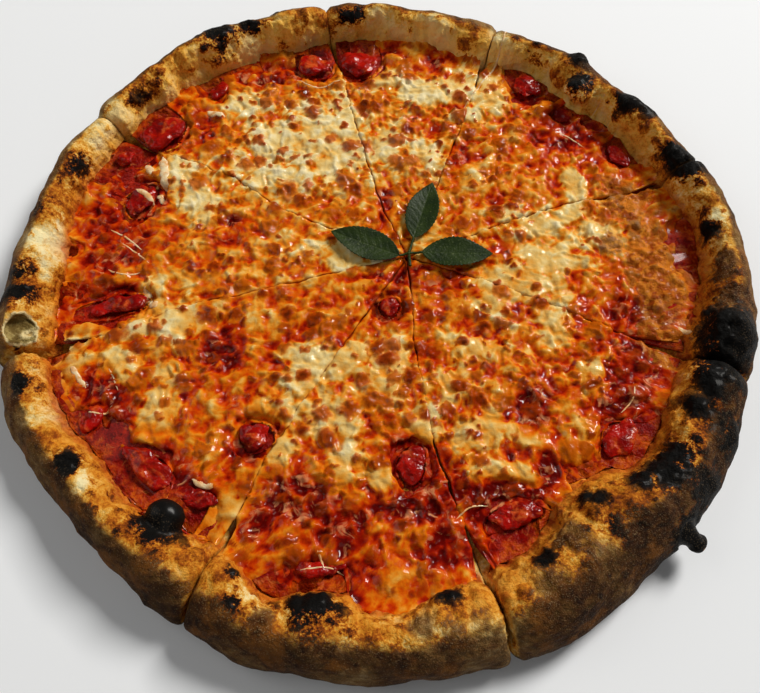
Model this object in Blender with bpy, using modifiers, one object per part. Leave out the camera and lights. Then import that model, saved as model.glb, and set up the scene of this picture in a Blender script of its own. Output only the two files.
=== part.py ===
"""Wood-fired margherita pizza cut into eight uneven slices that still lie together.

Each slice is a length of dough with its puffed rim, a thin layer of tomato sauce and a layer of
melted mozzarella. Crushed tomato pieces stand in openings of the cheese, and a sprig of three
basil leaves lies over the point where the cuts meet. Metres, +Z up, base on Z = 0.
"""

import math

import bmesh
import bpy
from mathutils import Matrix, Vector, noise

for old in list(bpy.data.objects):
    bpy.data.objects.remove(old, do_unlink=True)

MM = 0.001

# Heights of the layers
BASE_TOP = 3.8 * MM
SAUCE_BOTTOM = 4.1 * MM
SAUCE_TOP = 5.3 * MM
CHEESE_BOTTOM = 5.6 * MM
CHEESE_TOP = 8.1 * MM

# Rim of the dough
OUTER_RADIUS = 160.0 * MM
RIM_WIDTH = 24.0 * MM
RIM_HEIGHT = 21.0 * MM
DOUGH_STEPS = 120
LAYER_STEPS = 64

# Cuts, all meeting a little off the middle
CUT_CENTRE = Vector((13.0, 13.0)) * MM
CUT_REACH = 195.0 * MM
PRESS_DEPTH = 2.2 * MM
PRESS_WIDTH = 6.0 * MM

# Room between a tomato piece and the cheese round it
PIECE_GAP = 0.35 * MM

object_parts = bpy.data.collections.new("margherita_pizza")
cutters = bpy.data.collections.new("cutters")
for made in (object_parts, cutters):
    bpy.context.scene.collection.children.link(made)


def coat(name, colour, roughness):
    material = bpy.data.materials.new(name)
    material.use_nodes = True
    shader = material.node_tree.nodes["Principled BSDF"]
    shader.inputs["Base Color"].default_value = (*colour, 1.0)
    shader.inputs["Roughness"].default_value = roughness
    material.diffuse_color = (*colour, 1.0)
    return material


CRUST = coat("crust", (0.56, 0.30, 0.10), 0.75)
SAUCE = coat("sauce", (0.42, 0.03, 0.008), 0.35)
CHEESE = coat("cheese", (0.74, 0.46, 0.15), 0.35)
TOMATO = coat("tomato", (0.46, 0.02, 0.008), 0.3)
BASIL = coat("basil", (0.03, 0.07, 0.02), 0.45)


def put(name, mesh, material=None):
    """An object in the pizza's collection, or a cutter where it has no material."""
    made = bpy.data.objects.new(name, mesh)
    if material:
        mesh.materials.clear()
        mesh.materials.append(material)
        object_parts.objects.link(made)
    else:
        made.hide_render = True
        made.display_type = "WIRE"
        cutters.objects.link(made)
    return made


def boolean(target, operation, other):
    step = target.modifiers.new(f"{operation.lower()}_{other.name}", "BOOLEAN")
    step.operation = operation
    step.solver = "EXACT"
    step.object = other


def swell(angle, centre, width):
    """1 at the centre angle, easing to 0 at width degrees on either side."""
    away = abs((angle - centre + 180.0) % 360.0 - 180.0)
    return 0.5 + 0.5 * math.cos(math.pi * away / width) if away < width else 0.0


# The hand-stretched rim round the pizza: angle (degrees), outer radius, radius of its inner foot
# and height of its crest (mm)
RIM_STATIONS = (
    (-180, 161.5, 137, 23),
    (-168, 163, 139.5, 24),
    (-163, 162.5, 140.5, 16),
    (-155, 161, 140, 20),
    (-144, 158, 132.5, 20),
    (-133, 156.5, 134, 21),
    (-119, 158.5, 124.5, 21),
    (-106, 161, 135.5, 20),
    (-97, 161, 129, 21),
    (-88, 160.5, 135, 21),
    (-78, 161, 129, 22),
    (-66, 161.5, 126, 24),
    (-51, 159.5, 114, 25),
    (-38, 159.5, 129, 23),
    (-24, 158.5, 126.5, 22),
    (-10, 160.5, 131.5, 22),
    (2, 162.5, 140, 21),
    (12, 162.5, 142.5, 21),
    (20, 160.5, 140.5, 22),
    (29, 160, 139, 22),
    (38, 158, 140.5, 21),
    (47, 159, 137, 22),
    (57, 158.5, 143, 21),
    (70, 160, 134.5, 21),
    (80, 160.5, 140, 22),
    (92, 160, 146, 22),
    (104, 161, 144, 24),
    (116, 162.5, 144, 24.5),
    (125, 163, 147, 25),
    (141, 162.5, 147, 22),
    (150, 163.5, 145, 20),
    (159, 160.5, 142.5, 22),
    (169, 160.5, 139.5, 22),
    (180, 161.5, 137, 23),
)


def rim_at(angle):
    """Outer radius, width and height of the rim at an angle in degrees."""
    for (start, *low), (end, *high) in zip(RIM_STATIONS, RIM_STATIONS[1:]):
        if start <= angle <= end:
            share = 0.5 - 0.5 * math.cos(math.pi * (angle - start) / (end - start))
            outer, foot, height = (a + (b - a) * share for a, b in zip(low, high))
    return outer * MM, (outer - foot) * MM, height * MM


# Paths of the cutting wheel from the centre outwards (mm) and half the gap it left: at the
# centre, at two thirds of the way and at the rim (mm)
CUTS = (
    ("top", ((1, 42), (-9, 82), (-18, 120), (-25, 149)), (0.25, 0.35, 0.8)),
    ("top_right", ((29, 56), (44, 97), (56, 130), (64, 150)), (0.25, 0.4, 0.7)),
    ("right", ((49, 27), (84, 40), (117, 46), (151, 58)), (0.25, 0.45, 0.8)),
    ("lower_right", ((41, 2), (79, -14), (107, -28), (121, -33), (134, -42), (151, -49)), (0.25, 0.8, 1.2)),
    ("bottom", ((15, -33), (21, -73), (33, -110), (45, -148)), (0.25, 0.7, 1.7)),
    ("lower_left", ((-31, -55), (-47, -84), (-59, -112), (-72, -140)), (0.25, 0.4, 1.1)),
    ("left", ((-41, -1), (-79, -10), (-113, -23), (-138, -33), (-156, -40)), (0.25, 0.45, 1.6)),
    ("upper_left", ((-41, 37), (-71, 59), (-105, 73), (-143, 92)), (0.25, 0.35, 0.6)),
)
MIDDLE_SHARE = 0.66


def cut_path(points):
    """The wheel's path in metres from the centre to beyond the rim."""
    path = [CUT_CENTRE.copy()] + [Vector(point) * MM for point in points]
    onward = (path[-1] - path[-2]).normalized()
    path.append(path[-1] + onward * (CUT_REACH - path[-1].length))
    return path


def half_gap(share, gaps):
    near, middle, far = gaps
    if share < MIDDLE_SHARE:
        return MM * (near + (middle - near) * share / MIDDLE_SHARE)
    return MM * (middle + (far - middle) * (share - MIDDLE_SHARE) / (1.0 - MIDDLE_SHARE))


def cut_side(points, gaps, side):
    """The path moved to its left (side 1) or right (side -1) by half of the gap."""
    path = cut_path(points)
    moved = []
    for i in range(1, len(path)):
        onward = (path[min(i + 1, len(path) - 1)] - path[i - 1]).normalized()
        share = min(1.0, path[i].length / OUTER_RADIUS)
        across = Vector((-onward.y, onward.x)) * side
        moved.append(path[i] + across * half_gap(share, gaps))
    return moved


def distance_to_cuts(spot):
    nearest = 1.0
    for _, points, _ in CUTS:
        path = cut_path(points)
        for a, b in zip(path, path[1:]):
            along = max(0.0, min(1.0, (spot - a).dot(b - a) / (b - a).length_squared))
            nearest = min(nearest, (spot - a - (b - a) * along).length)
    return nearest


def turned_round(name, profile, steps):
    """A closed body of revolution: the profile runs from the top of the axis, down the outer
    side, to the bottom of the axis."""
    line = bpy.data.meshes.new(name + "_profile")
    edges = [(i, i + 1) for i in range(len(profile) - 1)]
    line.from_pydata([(r, 0.0, z) for r, z in profile], edges, [])
    guide = bpy.data.objects.new(name + "_profile", line)
    bpy.context.scene.collection.objects.link(guide)
    screw = guide.modifiers.new("screw", "SCREW")
    screw.axis = "Z"
    screw.angle = math.tau
    screw.steps = steps
    screw.render_steps = steps
    screw.use_merge_vertices = True
    screw.merge_threshold = 0.0001
    graph = bpy.context.evaluated_depsgraph_get()
    mesh = bpy.data.meshes.new_from_object(guide.evaluated_get(graph))
    mesh.name = name
    bpy.data.objects.remove(guide, do_unlink=True)
    shape = bmesh.new()
    shape.from_mesh(mesh)
    bmesh.ops.recalc_face_normals(shape, faces=shape.faces)
    shape.to_mesh(mesh)
    shape.free()
    return mesh


def spread_vertices(mesh, move):
    """Move each vertex by a function of its angle (degrees), radius and height."""
    for vertex in mesh.vertices:
        x, y, z = vertex.co
        angle = math.degrees(math.atan2(y, x))
        radius, height = move(angle, math.hypot(x, y), z)
        turn = math.radians(angle)
        vertex.co = (radius * math.cos(turn), radius * math.sin(turn), height)


# Dough ---------------------------------------------------------------------------------------

# Section of the rim: share of its width in from the outer edge, share of its height
RIM_SECTION = (
    (0.995, BASE_TOP / RIM_HEIGHT),
    (0.91, 0.42),
    (0.80, 0.75),
    (0.64, 0.96),
    (0.45, 1.0),
    (0.28, 0.92),
    (0.12, 0.72),
    (0.02, 0.45),
    (0.01, 0.21),
    (0.11, 0.04),
    (0.24, 0.0),
)

# Bubbles of the rim: x, y, radius, rise (mm)
BUBBLES = (
    (-129, 52, 12, 3.0),
    (-145, 8, 20, 3.0),
    (-151, -1, 6, 1.0),
    (-150, -13, 6, 1.2),
    (-146, -28, 13, 3.5),
    (-143, -51, 9, 2.4),
    (-129, -82, 10, 1.6),
    (-26, -134, 9, 3.2),
    (22, -131, 7, 2.0),
    (-53, -126, 8, 1.8),
    (65, -120, 16, 2.4),
    (96, -98, 12, 2.4),
    (117, -83, 11, 2.0),
    (135, -53, 12, 3.6),
    (141, -30, 15, 5.0),
    (135, 8, 10, 1.6),
    (141, 50, 13, 3.4),
    (121, 84, 12, 2.4),
    (97, 98, 10, 3.4),
    (65, 124, 12, 2.2),
    (23, 136, 16, 1.6),
    (-14, 140, 9, 2.2),
    (-45, 140, 13, 2.4),
    (-81, 126, 13, 3.6),
    (-106, 106, 11, 3.0),
    (-123, 86, 8, 2.0),
    (-143, 34, 9, 1.6),
)


def rim_vertex(angle, radius, height):
    outer, width, tall = rim_at(angle)
    depth = (OUTER_RADIUS - radius) / RIM_WIDTH
    if depth > 1.0:
        return radius, height
    if height > BASE_TOP:
        height = BASE_TOP + (height - BASE_TOP) * (tall - BASE_TOP) / (RIM_HEIGHT - BASE_TOP)
    return outer - depth * width, height


def raise_bubbles(mesh):
    """Push the rim out along its own normals over each bubble, and down along each cut."""
    shape = bmesh.new()
    shape.from_mesh(mesh)
    shape.normal_update()
    moves = {}
    for vertex in shape.verts:
        if vertex.co.z < 5.0 * MM:
            continue
        lift = 0.0
        for x, y, radius, rise in BUBBLES:
            away = (Vector((x, y)) * MM - vertex.co.xy).length / (radius * MM)
            if away < 1.0:
                lift += rise * MM * (1.0 - away * away) ** 2
        moves[vertex] = vertex.normal * lift
        pressed = distance_to_cuts(vertex.co.xy) / PRESS_WIDTH
        high = min(1.0, (vertex.co.z - 5.0 * MM) / (12.0 * MM))
        moves[vertex].z -= PRESS_DEPTH * high * math.exp(-pressed * pressed)
    for vertex, step in moves.items():
        vertex.co += step
    shape.to_mesh(mesh)
    shape.free()


profile = [(0.0, BASE_TOP)]
profile += [(OUTER_RADIUS - deep * RIM_WIDTH, tall * RIM_HEIGHT) for deep, tall in RIM_SECTION]
profile += [(0.0, 0.0)]
dough_mesh = turned_round("dough", profile, DOUGH_STEPS)
spread_vertices(dough_mesh, rim_vertex)
raise_bubbles(dough_mesh)


def egg(name, centre, radii, lean=0.0, tip=0.0, segments=10, rings=6):
    """A cutter or an addition shaped as an egg: lean turns it about Z, tip lifts its far end."""
    mesh = bpy.data.meshes.new(name)
    shape = bmesh.new()
    bmesh.ops.create_uvsphere(shape, u_segments=segments, v_segments=rings, radius=1.0)
    turn = Matrix.Rotation(math.radians(lean), 4, "Z") @ Matrix.Rotation(-math.radians(tip), 4, "Y")
    scale = Matrix.Diagonal((*(Vector(radii) * MM), 1.0))
    bmesh.ops.transform(shape, matrix=turn @ scale, verts=shape.verts)
    bmesh.ops.translate(shape, vec=Vector(centre) * MM, verts=shape.verts)
    shape.to_mesh(mesh)
    shape.free()
    return put(name, mesh)


# Charred knobs that stand off the rim, with the slice (1 to 8) each belongs to
KNOBS = (
    ("ball_blister", 6, (-80.0, -102.5, 13.5), (8.2, 6.8, 6.6), -20, 0),
    ("curled_knob", 4, (112.5, -110.0, 12.5), (8.0, 4.2, 3.6), -50, -8),
    ("curled_knob_end", 4, (116.5, -113.5, 10.0), (3.6, 4.4, 3.4), 10, 0),
    ("seam_knob", 6, (-84.5, -131.0, 8.0), (3.6, 4.2, 3.4), 30, 0),
    ("back_knob", 2, (98.5, 117.5, 20.5), (2.9, 3.2, 3.0), 0, 0),
    ("glossy_blister", 2, (96.5, 100.5, 17.0), (8.4, 6.2, 5.4), -20, -10),
    ("big_blister", 3, (143.0, -33.0, 16.5), (11.5, 9.0, 8.5), 75, 0),
    ("side_blister", 4, (131.5, -73.0, 13.0), (7.5, 6.5, 6.5), -30, 0),
)
BURST_SLICE = 7
burst = egg("burst_bubble", (-143.5, -29.0, 23.5), (6.2, 4.3, 8.0), 14, 0, 14, 10)
knobs = [(owner, egg(name, *rest)) for name, owner, *rest in KNOBS]


# Sauce and cheese ------------------------------------------------------------------------------

# Where the cheese stops short of the rim: angle, width either side (degrees), short by (mm)
BARE_EDGES = (
    (176, 18, 5.0),
    (-166, 14, 6.0),
    (-150, 10, 9.0),
    (-138, 10, 4.0),
    (-90, 6, 3.0),
    (-106, 7, 5.0),
    (-66, 12, 3.0),
    (-38, 14, 10.0),
    (-10, 14, 5.0),
    (8, 12, 8.0),
    (32, 10, 7.0),
    (56, 10, 10.0),
    (98, 14, 12.0),
    (122, 14, 9.0),
    (145, 16, 17.0),
)


def cheese_edge(angle):
    outer, width, _ = rim_at(angle)
    short = 3.0 + sum(swell(angle, at, wide) * by for at, wide, by in BARE_EDGES)
    turn = math.radians(angle)
    short += 1.3 * math.sin(14 * turn + 0.5) + 0.9 * math.sin(29 * turn)
    return outer - width - max(0.9, short) * MM


def cheese_vertex(angle, radius, height):
    edge = cheese_edge(angle)
    share = radius / CHEESE_RADIUS
    if height > CHEESE_BOTTOM + 0.1 * MM:
        turn = math.radians(angle)
        spot = Vector((math.cos(turn), math.sin(turn), 0.0)) * share * edge
        height += 0.55 * MM * noise.noise(spot * 55.0)
    return share * edge, height


CHEESE_RADIUS = 125.0 * MM
CHEESE_RINGS = (0.22, 0.46, 0.66, 0.82, 0.94)
cheese_profile = [(0.0, CHEESE_TOP)]
cheese_profile += [(CHEESE_RADIUS * share, CHEESE_TOP) for share in CHEESE_RINGS]
cheese_profile += [
    (CHEESE_RADIUS * 0.99, CHEESE_TOP - 0.8 * MM),
    (CHEESE_RADIUS, CHEESE_BOTTOM),
    (0.0, CHEESE_BOTTOM),
]
cheese_mesh = turned_round("cheese", cheese_profile, LAYER_STEPS)
spread_vertices(cheese_mesh, cheese_vertex)


def sauce_vertex(angle, radius, height):
    outer, width, _ = rim_at(angle)
    turn = math.radians(angle)
    edge = outer - width - (1.4 + 0.6 * math.sin(19 * turn)) * MM
    return radius / SAUCE_RADIUS * edge, height


SAUCE_RADIUS = 130.0 * MM
sauce_profile = (
    (0.0, SAUCE_TOP),
    (SAUCE_RADIUS * 0.985, SAUCE_TOP),
    (SAUCE_RADIUS, SAUCE_BOTTOM),
    (0.0, SAUCE_BOTTOM),
)
sauce_mesh = turned_round("sauce", sauce_profile, LAYER_STEPS)
spread_vertices(sauce_mesh, sauce_vertex)


# Tomato pieces ---------------------------------------------------------------------------------

# Name, slice whose cheese it stands in, x, y, length, width, height, turn (mm and degrees)
TOMATOES = (
    ("tomato_01", 8, -103.5, 83.5, 23, 17, 7.0, 20),
    ("tomato_02", 7, -119.5, 68.5, 11, 7.5, 5.0, 40),
    ("tomato_03", 7, -109, 45, 19, 13, 4.2, 70),
    ("tomato_04", 8, -31.5, 126, 16, 14, 6.5, 20),
    ("tomato_05", 1, -9.5, 128, 21, 17, 6.5, 4),
    ("tomato_06", 2, 74.5, 111.5, 16, 13, 6.5, 40),
    ("tomato_07", 2, 89.5, 93, 11, 8, 4.6, -40),
    ("tomato_08", 2, 114, 68, 15, 9, 5.2, -60),
    ("tomato_09", 7, -112, -10, 24, 10, 4.0, 14),
    ("tomato_10", 6, -91, -82, 25, 12, 5.2, -38),
    ("tomato_11", 6, -71, -94.5, 18, 9, 4.8, -14),
    ("tomato_12", 6, -116, -62, 12, 9, 4.2, 60),
    ("tomato_13", 6, -49.5, -70, 14, 12, 4.6, 60),
    ("tomato_14", 5, 4.5, -12, 9, 7.5, 4.0, 20),
    ("tomato_15", 4, 94.5, -72, 20, 12, 4.0, 40),
    ("tomato_16", 5, 12, -82, 15, 12, 4.2, 70),
    ("tomato_17", 4, 51, -102, 20, 11, 4.0, 12),
    ("tomato_18", 5, -23, -121, 19, 6, 3.8, 4),
    ("tomato_19", 8, -79, 111, 12, 8, 4.4, 70),
)


def lump_outline(turn, seed):
    """Uneven plan of a crushed piece: share of its size at an angle."""
    return 1.0 + 0.10 * math.sin(2 * turn + seed) + 0.07 * math.sin(3 * turn + 2.1 * seed)


def tomato_mesh(name, x, y, length, width, height, turn, seed):
    """A flat-bottomed lump lying on the sauce: its top is folded, its sides are soft."""
    mesh = bpy.data.meshes.new(name)
    shape = bmesh.new()
    bmesh.ops.create_uvsphere(shape, u_segments=9, v_segments=5, radius=1.0)
    heading = math.radians(turn)
    for vertex in shape.verts:
        across, deep, up = vertex.co
        around = math.atan2(deep, across)
        spread = min(1.0, 1.12 * math.hypot(across, deep)) * lump_outline(around, seed)
        a = spread * math.cos(around) * length * 0.5 * MM
        b = spread * math.sin(around) * width * 0.5 * MM
        fold = 0.12 * math.sin(3.0 * across + seed) + 0.08 * math.sin(4.0 * deep - seed)
        tall = max(0.0, 0.5 + 0.5 * up + fold * (1.0 + up) * 0.5)
        vertex.co = (
            x * MM + a * math.cos(heading) - b * math.sin(heading),
            y * MM + a * math.sin(heading) + b * math.cos(heading),
            CHEESE_BOTTOM + tall * height * MM,
        )
    shape.to_mesh(mesh)
    shape.free()
    return mesh


def hole_mesh(name, x, y, length, width, turn, seed, reach=14):
    """An upright post round a piece, a gap larger all round."""
    heading = math.radians(turn)
    mesh = bpy.data.meshes.new(name)
    shape = bmesh.new()
    ring = []
    for i in range(reach):
        around = math.tau * i / reach
        spread = lump_outline(around, seed)
        a = spread * math.cos(around) * (length * 0.5 * MM + 1.5 * PIECE_GAP)
        b = spread * math.sin(around) * (width * 0.5 * MM + 1.5 * PIECE_GAP)
        side = a * math.cos(heading) - b * math.sin(heading)
        deep = a * math.sin(heading) + b * math.cos(heading)
        ring.append(shape.verts.new((x * MM + side, y * MM + deep, CHEESE_BOTTOM - 1.0 * MM)))
    floor = shape.faces.new(ring)
    grown = bmesh.ops.extrude_face_region(shape, geom=[floor])
    top = [part for part in grown["geom"] if isinstance(part, bmesh.types.BMVert)]
    bmesh.ops.translate(shape, vec=(0.0, 0.0, 8.0 * MM), verts=top)
    bmesh.ops.recalc_face_normals(shape, faces=shape.faces)
    shape.to_mesh(mesh)
    shape.free()
    return mesh


holes = []
for order, (name, owner, x, y, length, width, height, turn) in enumerate(TOMATOES):
    seed = 0.9 * order
    put(name, tomato_mesh(name, x, y, length, width, height, turn, seed), TOMATO)
    hole = put(name + "_hole", hole_mesh(name + "_hole", x, y, length, width, turn, seed))
    holes.append((owner, hole))


# Slices ----------------------------------------------------------------------------------------


def wedge(name, first, second):
    """An upright prism between two cuts, its point held back by the gap at the centre."""
    right = cut_side(first[1], first[2], -1)
    left = cut_side(second[1], second[2], 1)
    heading_right = (cut_path(first[1])[1] - CUT_CENTRE).normalized()
    heading_left = (cut_path(second[1])[1] - CUT_CENTRE).normalized()
    between = (heading_right + heading_left).normalized()
    half_angle = heading_right.angle(heading_left) / 2.0
    point = CUT_CENTRE + between * (half_gap(0.0, first[2]) / math.sin(half_angle))
    outline = [point] + right + list(reversed(left))
    mesh = bpy.data.meshes.new(name)
    shape = bmesh.new()
    ring = [shape.verts.new((spot.x, spot.y, -5.0 * MM)) for spot in outline]
    floor = shape.faces.new(ring)
    grown = bmesh.ops.extrude_face_region(shape, geom=[floor])
    top = [part for part in grown["geom"] if isinstance(part, bmesh.types.BMVert)]
    bmesh.ops.translate(shape, vec=(0.0, 0.0, 50.0 * MM), verts=top)
    bmesh.ops.recalc_face_normals(shape, faces=shape.faces)
    shape.to_mesh(mesh)
    shape.free()
    return put(name, mesh)


for i, cut in enumerate(CUTS):
    number = i + 1
    slice_wedge = wedge(f"slice_{number}_wedge", cut, CUTS[(i + 1) % len(CUTS)])
    dough = put(f"dough_{number}", dough_mesh.copy(), CRUST)
    for owner, knob in knobs:
        if owner == number:
            boolean(dough, "UNION", knob)
    if number == BURST_SLICE:
        boolean(dough, "DIFFERENCE", burst)
    boolean(dough, "INTERSECT", slice_wedge)
    sauce = put(f"sauce_{number}", sauce_mesh.copy(), SAUCE)
    boolean(sauce, "INTERSECT", slice_wedge)
    cheese = put(f"cheese_{number}", cheese_mesh.copy(), CHEESE)
    for owner, hole in holes:
        if owner == number:
            boolean(cheese, "DIFFERENCE", hole)
    boolean(cheese, "INTERSECT", slice_wedge)


# Basil sprig -----------------------------------------------------------------------------------

LEAF_THICKNESS = 0.6 * MM
SPRIG_BOTTOM = 9.2 * MM

# Name, base of the leaf x, y, heading (degrees), length, width, cup and curl (mm)
LEAVES = (
    ("left_leaf", (9.0, 12.0), 158.0, 32.5, 15.5, 1.2, 1.2),
    ("top_leaf", (15.5, 21.0), 72.0, 30.5, 14.5, 1.6, 1.6),
    ("right_leaf", (19.0, 13.5), -3.0, 31.0, 15.0, 1.0, 1.2),
)
STEM_RADIUS = 0.75 * MM


def leaf_height(along, across, cup, curl):
    """Height of a leaf over the cheese: folded along its rib, tip curled up."""
    return MM * (cup * across * across + curl * along**3 + 0.3 * math.sin(7.0 * along + 2.0 * across))


def leaf_mesh(name, base, heading, length, width, cup, curl):
    turn = math.radians(heading)
    shape = bmesh.new()
    bmesh.ops.create_grid(shape, x_segments=6, y_segments=4, size=1.0)
    for vertex in shape.verts:
        along = 0.5 + 0.5 * vertex.co.x
        across = vertex.co.y
        half = 0.5 * width * (0.08 + 0.92 * math.sin(math.pi * min(1.0, along * 0.97 + 0.02)) ** 0.8)
        a = along * length * MM
        b = across * half * MM * (1.0 - 0.3 * max(0.0, along - 0.6))
        vertex.co = (
            base[0] * MM + a * math.cos(turn) - b * math.sin(turn),
            base[1] * MM + a * math.sin(turn) + b * math.cos(turn),
            SPRIG_BOTTOM + 0.5 * MM + leaf_height(along, across, cup, curl),
        )
    bmesh.ops.recalc_face_normals(shape, faces=shape.faces)
    mesh = bpy.data.meshes.new(name)
    shape.to_mesh(mesh)
    shape.free()
    sheet = bpy.data.objects.new(name + "_sheet", mesh)
    bpy.context.scene.collection.objects.link(sheet)
    thick = sheet.modifiers.new("thickness", "SOLIDIFY")
    thick.thickness = LEAF_THICKNESS
    thick.offset = 0.0
    graph = bpy.context.evaluated_depsgraph_get()
    solid = bpy.data.meshes.new_from_object(sheet.evaluated_get(graph))
    bpy.data.objects.remove(sheet, do_unlink=True)
    solid.name = name
    return solid


def stem(name, start, end):
    """A short round stalk from the fork into the base of a leaf."""
    line = bpy.data.curves.new(name, "CURVE")
    line.dimensions = "3D"
    line.bevel_depth = STEM_RADIUS
    line.bevel_resolution = 1
    line.use_fill_caps = True
    run = line.splines.new("POLY")
    run.points.add(1)
    for point, spot in zip(run.points, (start, end)):
        point.co = (*spot, 1.0)
    guide = bpy.data.objects.new(name + "_line", line)
    bpy.context.scene.collection.objects.link(guide)
    graph = bpy.context.evaluated_depsgraph_get()
    mesh = bpy.data.meshes.new_from_object(guide.evaluated_get(graph))
    bpy.data.objects.remove(guide, do_unlink=True)
    mesh.name = name
    shape = bmesh.new()
    shape.from_mesh(mesh)
    bmesh.ops.remove_doubles(shape, verts=shape.verts, dist=0.00001)
    bmesh.ops.recalc_face_normals(shape, faces=shape.faces)
    shape.to_mesh(mesh)
    shape.free()
    return put(name, mesh)


fork = egg("fork", (13.2, 13.4, 10.6), (1.5, 1.4, 1.2), 0, 0, 8, 6)
sprig = put("basil_sprig", leaf_mesh("basil_sprig", *LEAVES[0][1:]), BASIL)
for name, *shape_of in LEAVES[1:]:
    boolean(sprig, "UNION", put(name, leaf_mesh(name, *shape_of)))
for name, base, heading, length, width, cup, curl in LEAVES:
    turn = math.radians(heading)
    reach = Vector((math.cos(turn), math.sin(turn))) * 4.0
    inside = Vector(base) + reach
    end = Vector((inside.x * MM, inside.y * MM, SPRIG_BOTTOM + 0.9 * MM))
    boolean(sprig, "UNION", stem(name + "_stalk", Vector((13.2, 13.4, 10.6)) * MM, end))
boolean(sprig, "UNION", fork)
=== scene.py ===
"""A margherita pizza from a wood oven, 32 cm across and cut into eight slices that still lie together.

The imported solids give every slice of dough, sauce and cheese, every large tomato piece and the basil
sprig their place. The pieces below grow a baked surface over each of them. Sizes are in millimetres
and turned into metres where a mesh is made.
"""

import math

import bmesh
import bpy
import numpy as np
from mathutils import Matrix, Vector


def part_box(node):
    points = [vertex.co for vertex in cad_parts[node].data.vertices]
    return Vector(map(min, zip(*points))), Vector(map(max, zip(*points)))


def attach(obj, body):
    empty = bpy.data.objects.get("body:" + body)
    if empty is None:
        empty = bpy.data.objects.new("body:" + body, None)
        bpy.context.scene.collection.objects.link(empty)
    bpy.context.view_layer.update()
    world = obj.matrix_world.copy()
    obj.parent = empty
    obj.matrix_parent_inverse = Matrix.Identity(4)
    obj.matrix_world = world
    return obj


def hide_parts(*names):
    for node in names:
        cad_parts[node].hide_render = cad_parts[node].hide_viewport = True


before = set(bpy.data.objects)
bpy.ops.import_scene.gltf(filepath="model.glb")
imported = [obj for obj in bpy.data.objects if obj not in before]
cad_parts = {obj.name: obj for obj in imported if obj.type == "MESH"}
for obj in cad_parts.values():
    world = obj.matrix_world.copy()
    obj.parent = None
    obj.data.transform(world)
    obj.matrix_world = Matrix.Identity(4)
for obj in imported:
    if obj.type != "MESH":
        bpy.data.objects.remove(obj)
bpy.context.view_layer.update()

# Dough. Each slice is a thin base that swells into a tall puffed rim. It is flour, water, salt and
# yeast, stretched by hand and baked on hot stone beside burning wood, so the rim is golden inside,
# floury outside, and charred where its bubbles came nearest to the fire.

SLICES = range(1, 9)
MM = 0.001
DOUGH_GRAIN = 0.78

# Burnt places on the rim: x, y, height, radius.
CHARRED = [
    (-129, 56, 21, 7.5), (-124, 60, 19, 5), (-151, -1, 20, 5), (-150, -13, 19, 5.5), (-144, -50, 20, 4.5),
    (-26, -133, 20, 7), (-22, -131, 20, 6), (-15, -133, 19, 3.8), (23.5, -131, 17.5, 5),
    (-51, -122, 18, 3.5), (96, 102, 19, 6), (100, 117, 21, 4), (122, 91, 21, 7), (127, 84, 20, 5),
    (141, 54, 20, 8), (136, 60, 20, 5), (117, 22, 14, 4.5), (133, 7, 19, 5.5), (143, -33, 18, 13),
    (136, -50, 17, 9), (130, -56, 19, 6), (121, -38, 19, 4), (124, -64, 17, 6), (132, -73, 13, 9),
    (96, -93, 21, 5), (105, -91, 19, 7), (114, -84, 17, 7), (74, -96, 20, 4.5), (80, -99, 19, 4),
    (-14, 145, 21, 5), (-9, 152, 18, 3.5), (-80, 137, 20, 10), (-88, 136, 21, 7), (-110, 94, 20, 6.5),
    (-64, 140, 21, 5), (-118, -83, 20, 4.5), (-80, -102, 15, 9.5), (58, -121, 20, 4), (63, -128, 16, 5),
    (52, -130, 12, 4), (84, -110, 19, 5), (92, -106, 19, 5), (118, -92, 14, 10), (113, -110, 12, 10),
    (102, -104, 12, 8), (88, -112, 12, 6), (-22, -145, 15, 4.5), (-53, -135, 16, 4), (-45, -139, 15, 3.5),
    (-11, -148, 12, 4.5), (35, -140, 15, 3.5), (98, 117, 21, 5), (30, 158, 17, 3), (-36, 158, 17, 3.5),
    (-52, 150, 21, 3.5), (-131, 22, 16, 2.5), (-112, 76, 21, 3), (147, 20, 14, 5), (-84, -131, 6, 2.5),
]
# Browned places: x, y, height, radius.
TOASTED = [
    (-97, 115, 22, 10), (-107, 98, 22, 12), (-148, 29, 20, 9), (-129, 50, 20, 14), (-141, 40, 20, 10),
    (-150, -7, 20, 12), (-140, -55, 20, 9), (-128, -72, 20, 7), (-116, -86, 19, 9), (-103, -92, 18, 9),
    (-86, -106, 17, 14), (-72, -112, 17, 9), (-60, -124, 16, 8), (-24, -134, 19, 12), (-5, -146, 12, 9),
    (22, -132, 18, 7), (-80, 140, 20, 16), (-60, 140, 14, 8), (-15, 146, 20, 10), (85, 128, 20, 14),
    (100, 112, 20, 14), (122, 88, 20, 16), (138, 56, 20, 16), (133, 10, 19, 12), (144, -10, 14, 16),
    (140, -40, 18, 20), (128, -62, 18, 16), (112, -84, 18, 20), (86, -100, 15, 14), (60, -124, 14, 12),
    (95, -112, 10, 18), (70, -134, 10, 18), (120, -88, 12, 22), (140, -60, 10, 18), (-30, -146, 10, 14),
    (34, -142, 10, 8), (-110, -108, 8, 12), (-66, -140, 10, 14), (12, 150, 18, 8), (40, 144, 18, 7),
    (148, 28, 13, 12), (84, -88, 14, 9), (108, -66, 12, 8), (84, -108, 17, 16), (66, -118, 17, 12),
    (100, -102, 16, 16), (-48, -136, 10, 14), (8, -148, 10, 14), (118, 104, 12, 16), (146, 40, 10, 16),
    (-23, -142, 17, 9), (24, -145, 13, 8), (84, -101, 18, 13), (86, -112, 18, 14), (102, -126, 10, 16),
    (83, -140, 8, 14), (-80, -131, 9, 12), (-80, 131, 17, 12),
]
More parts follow.
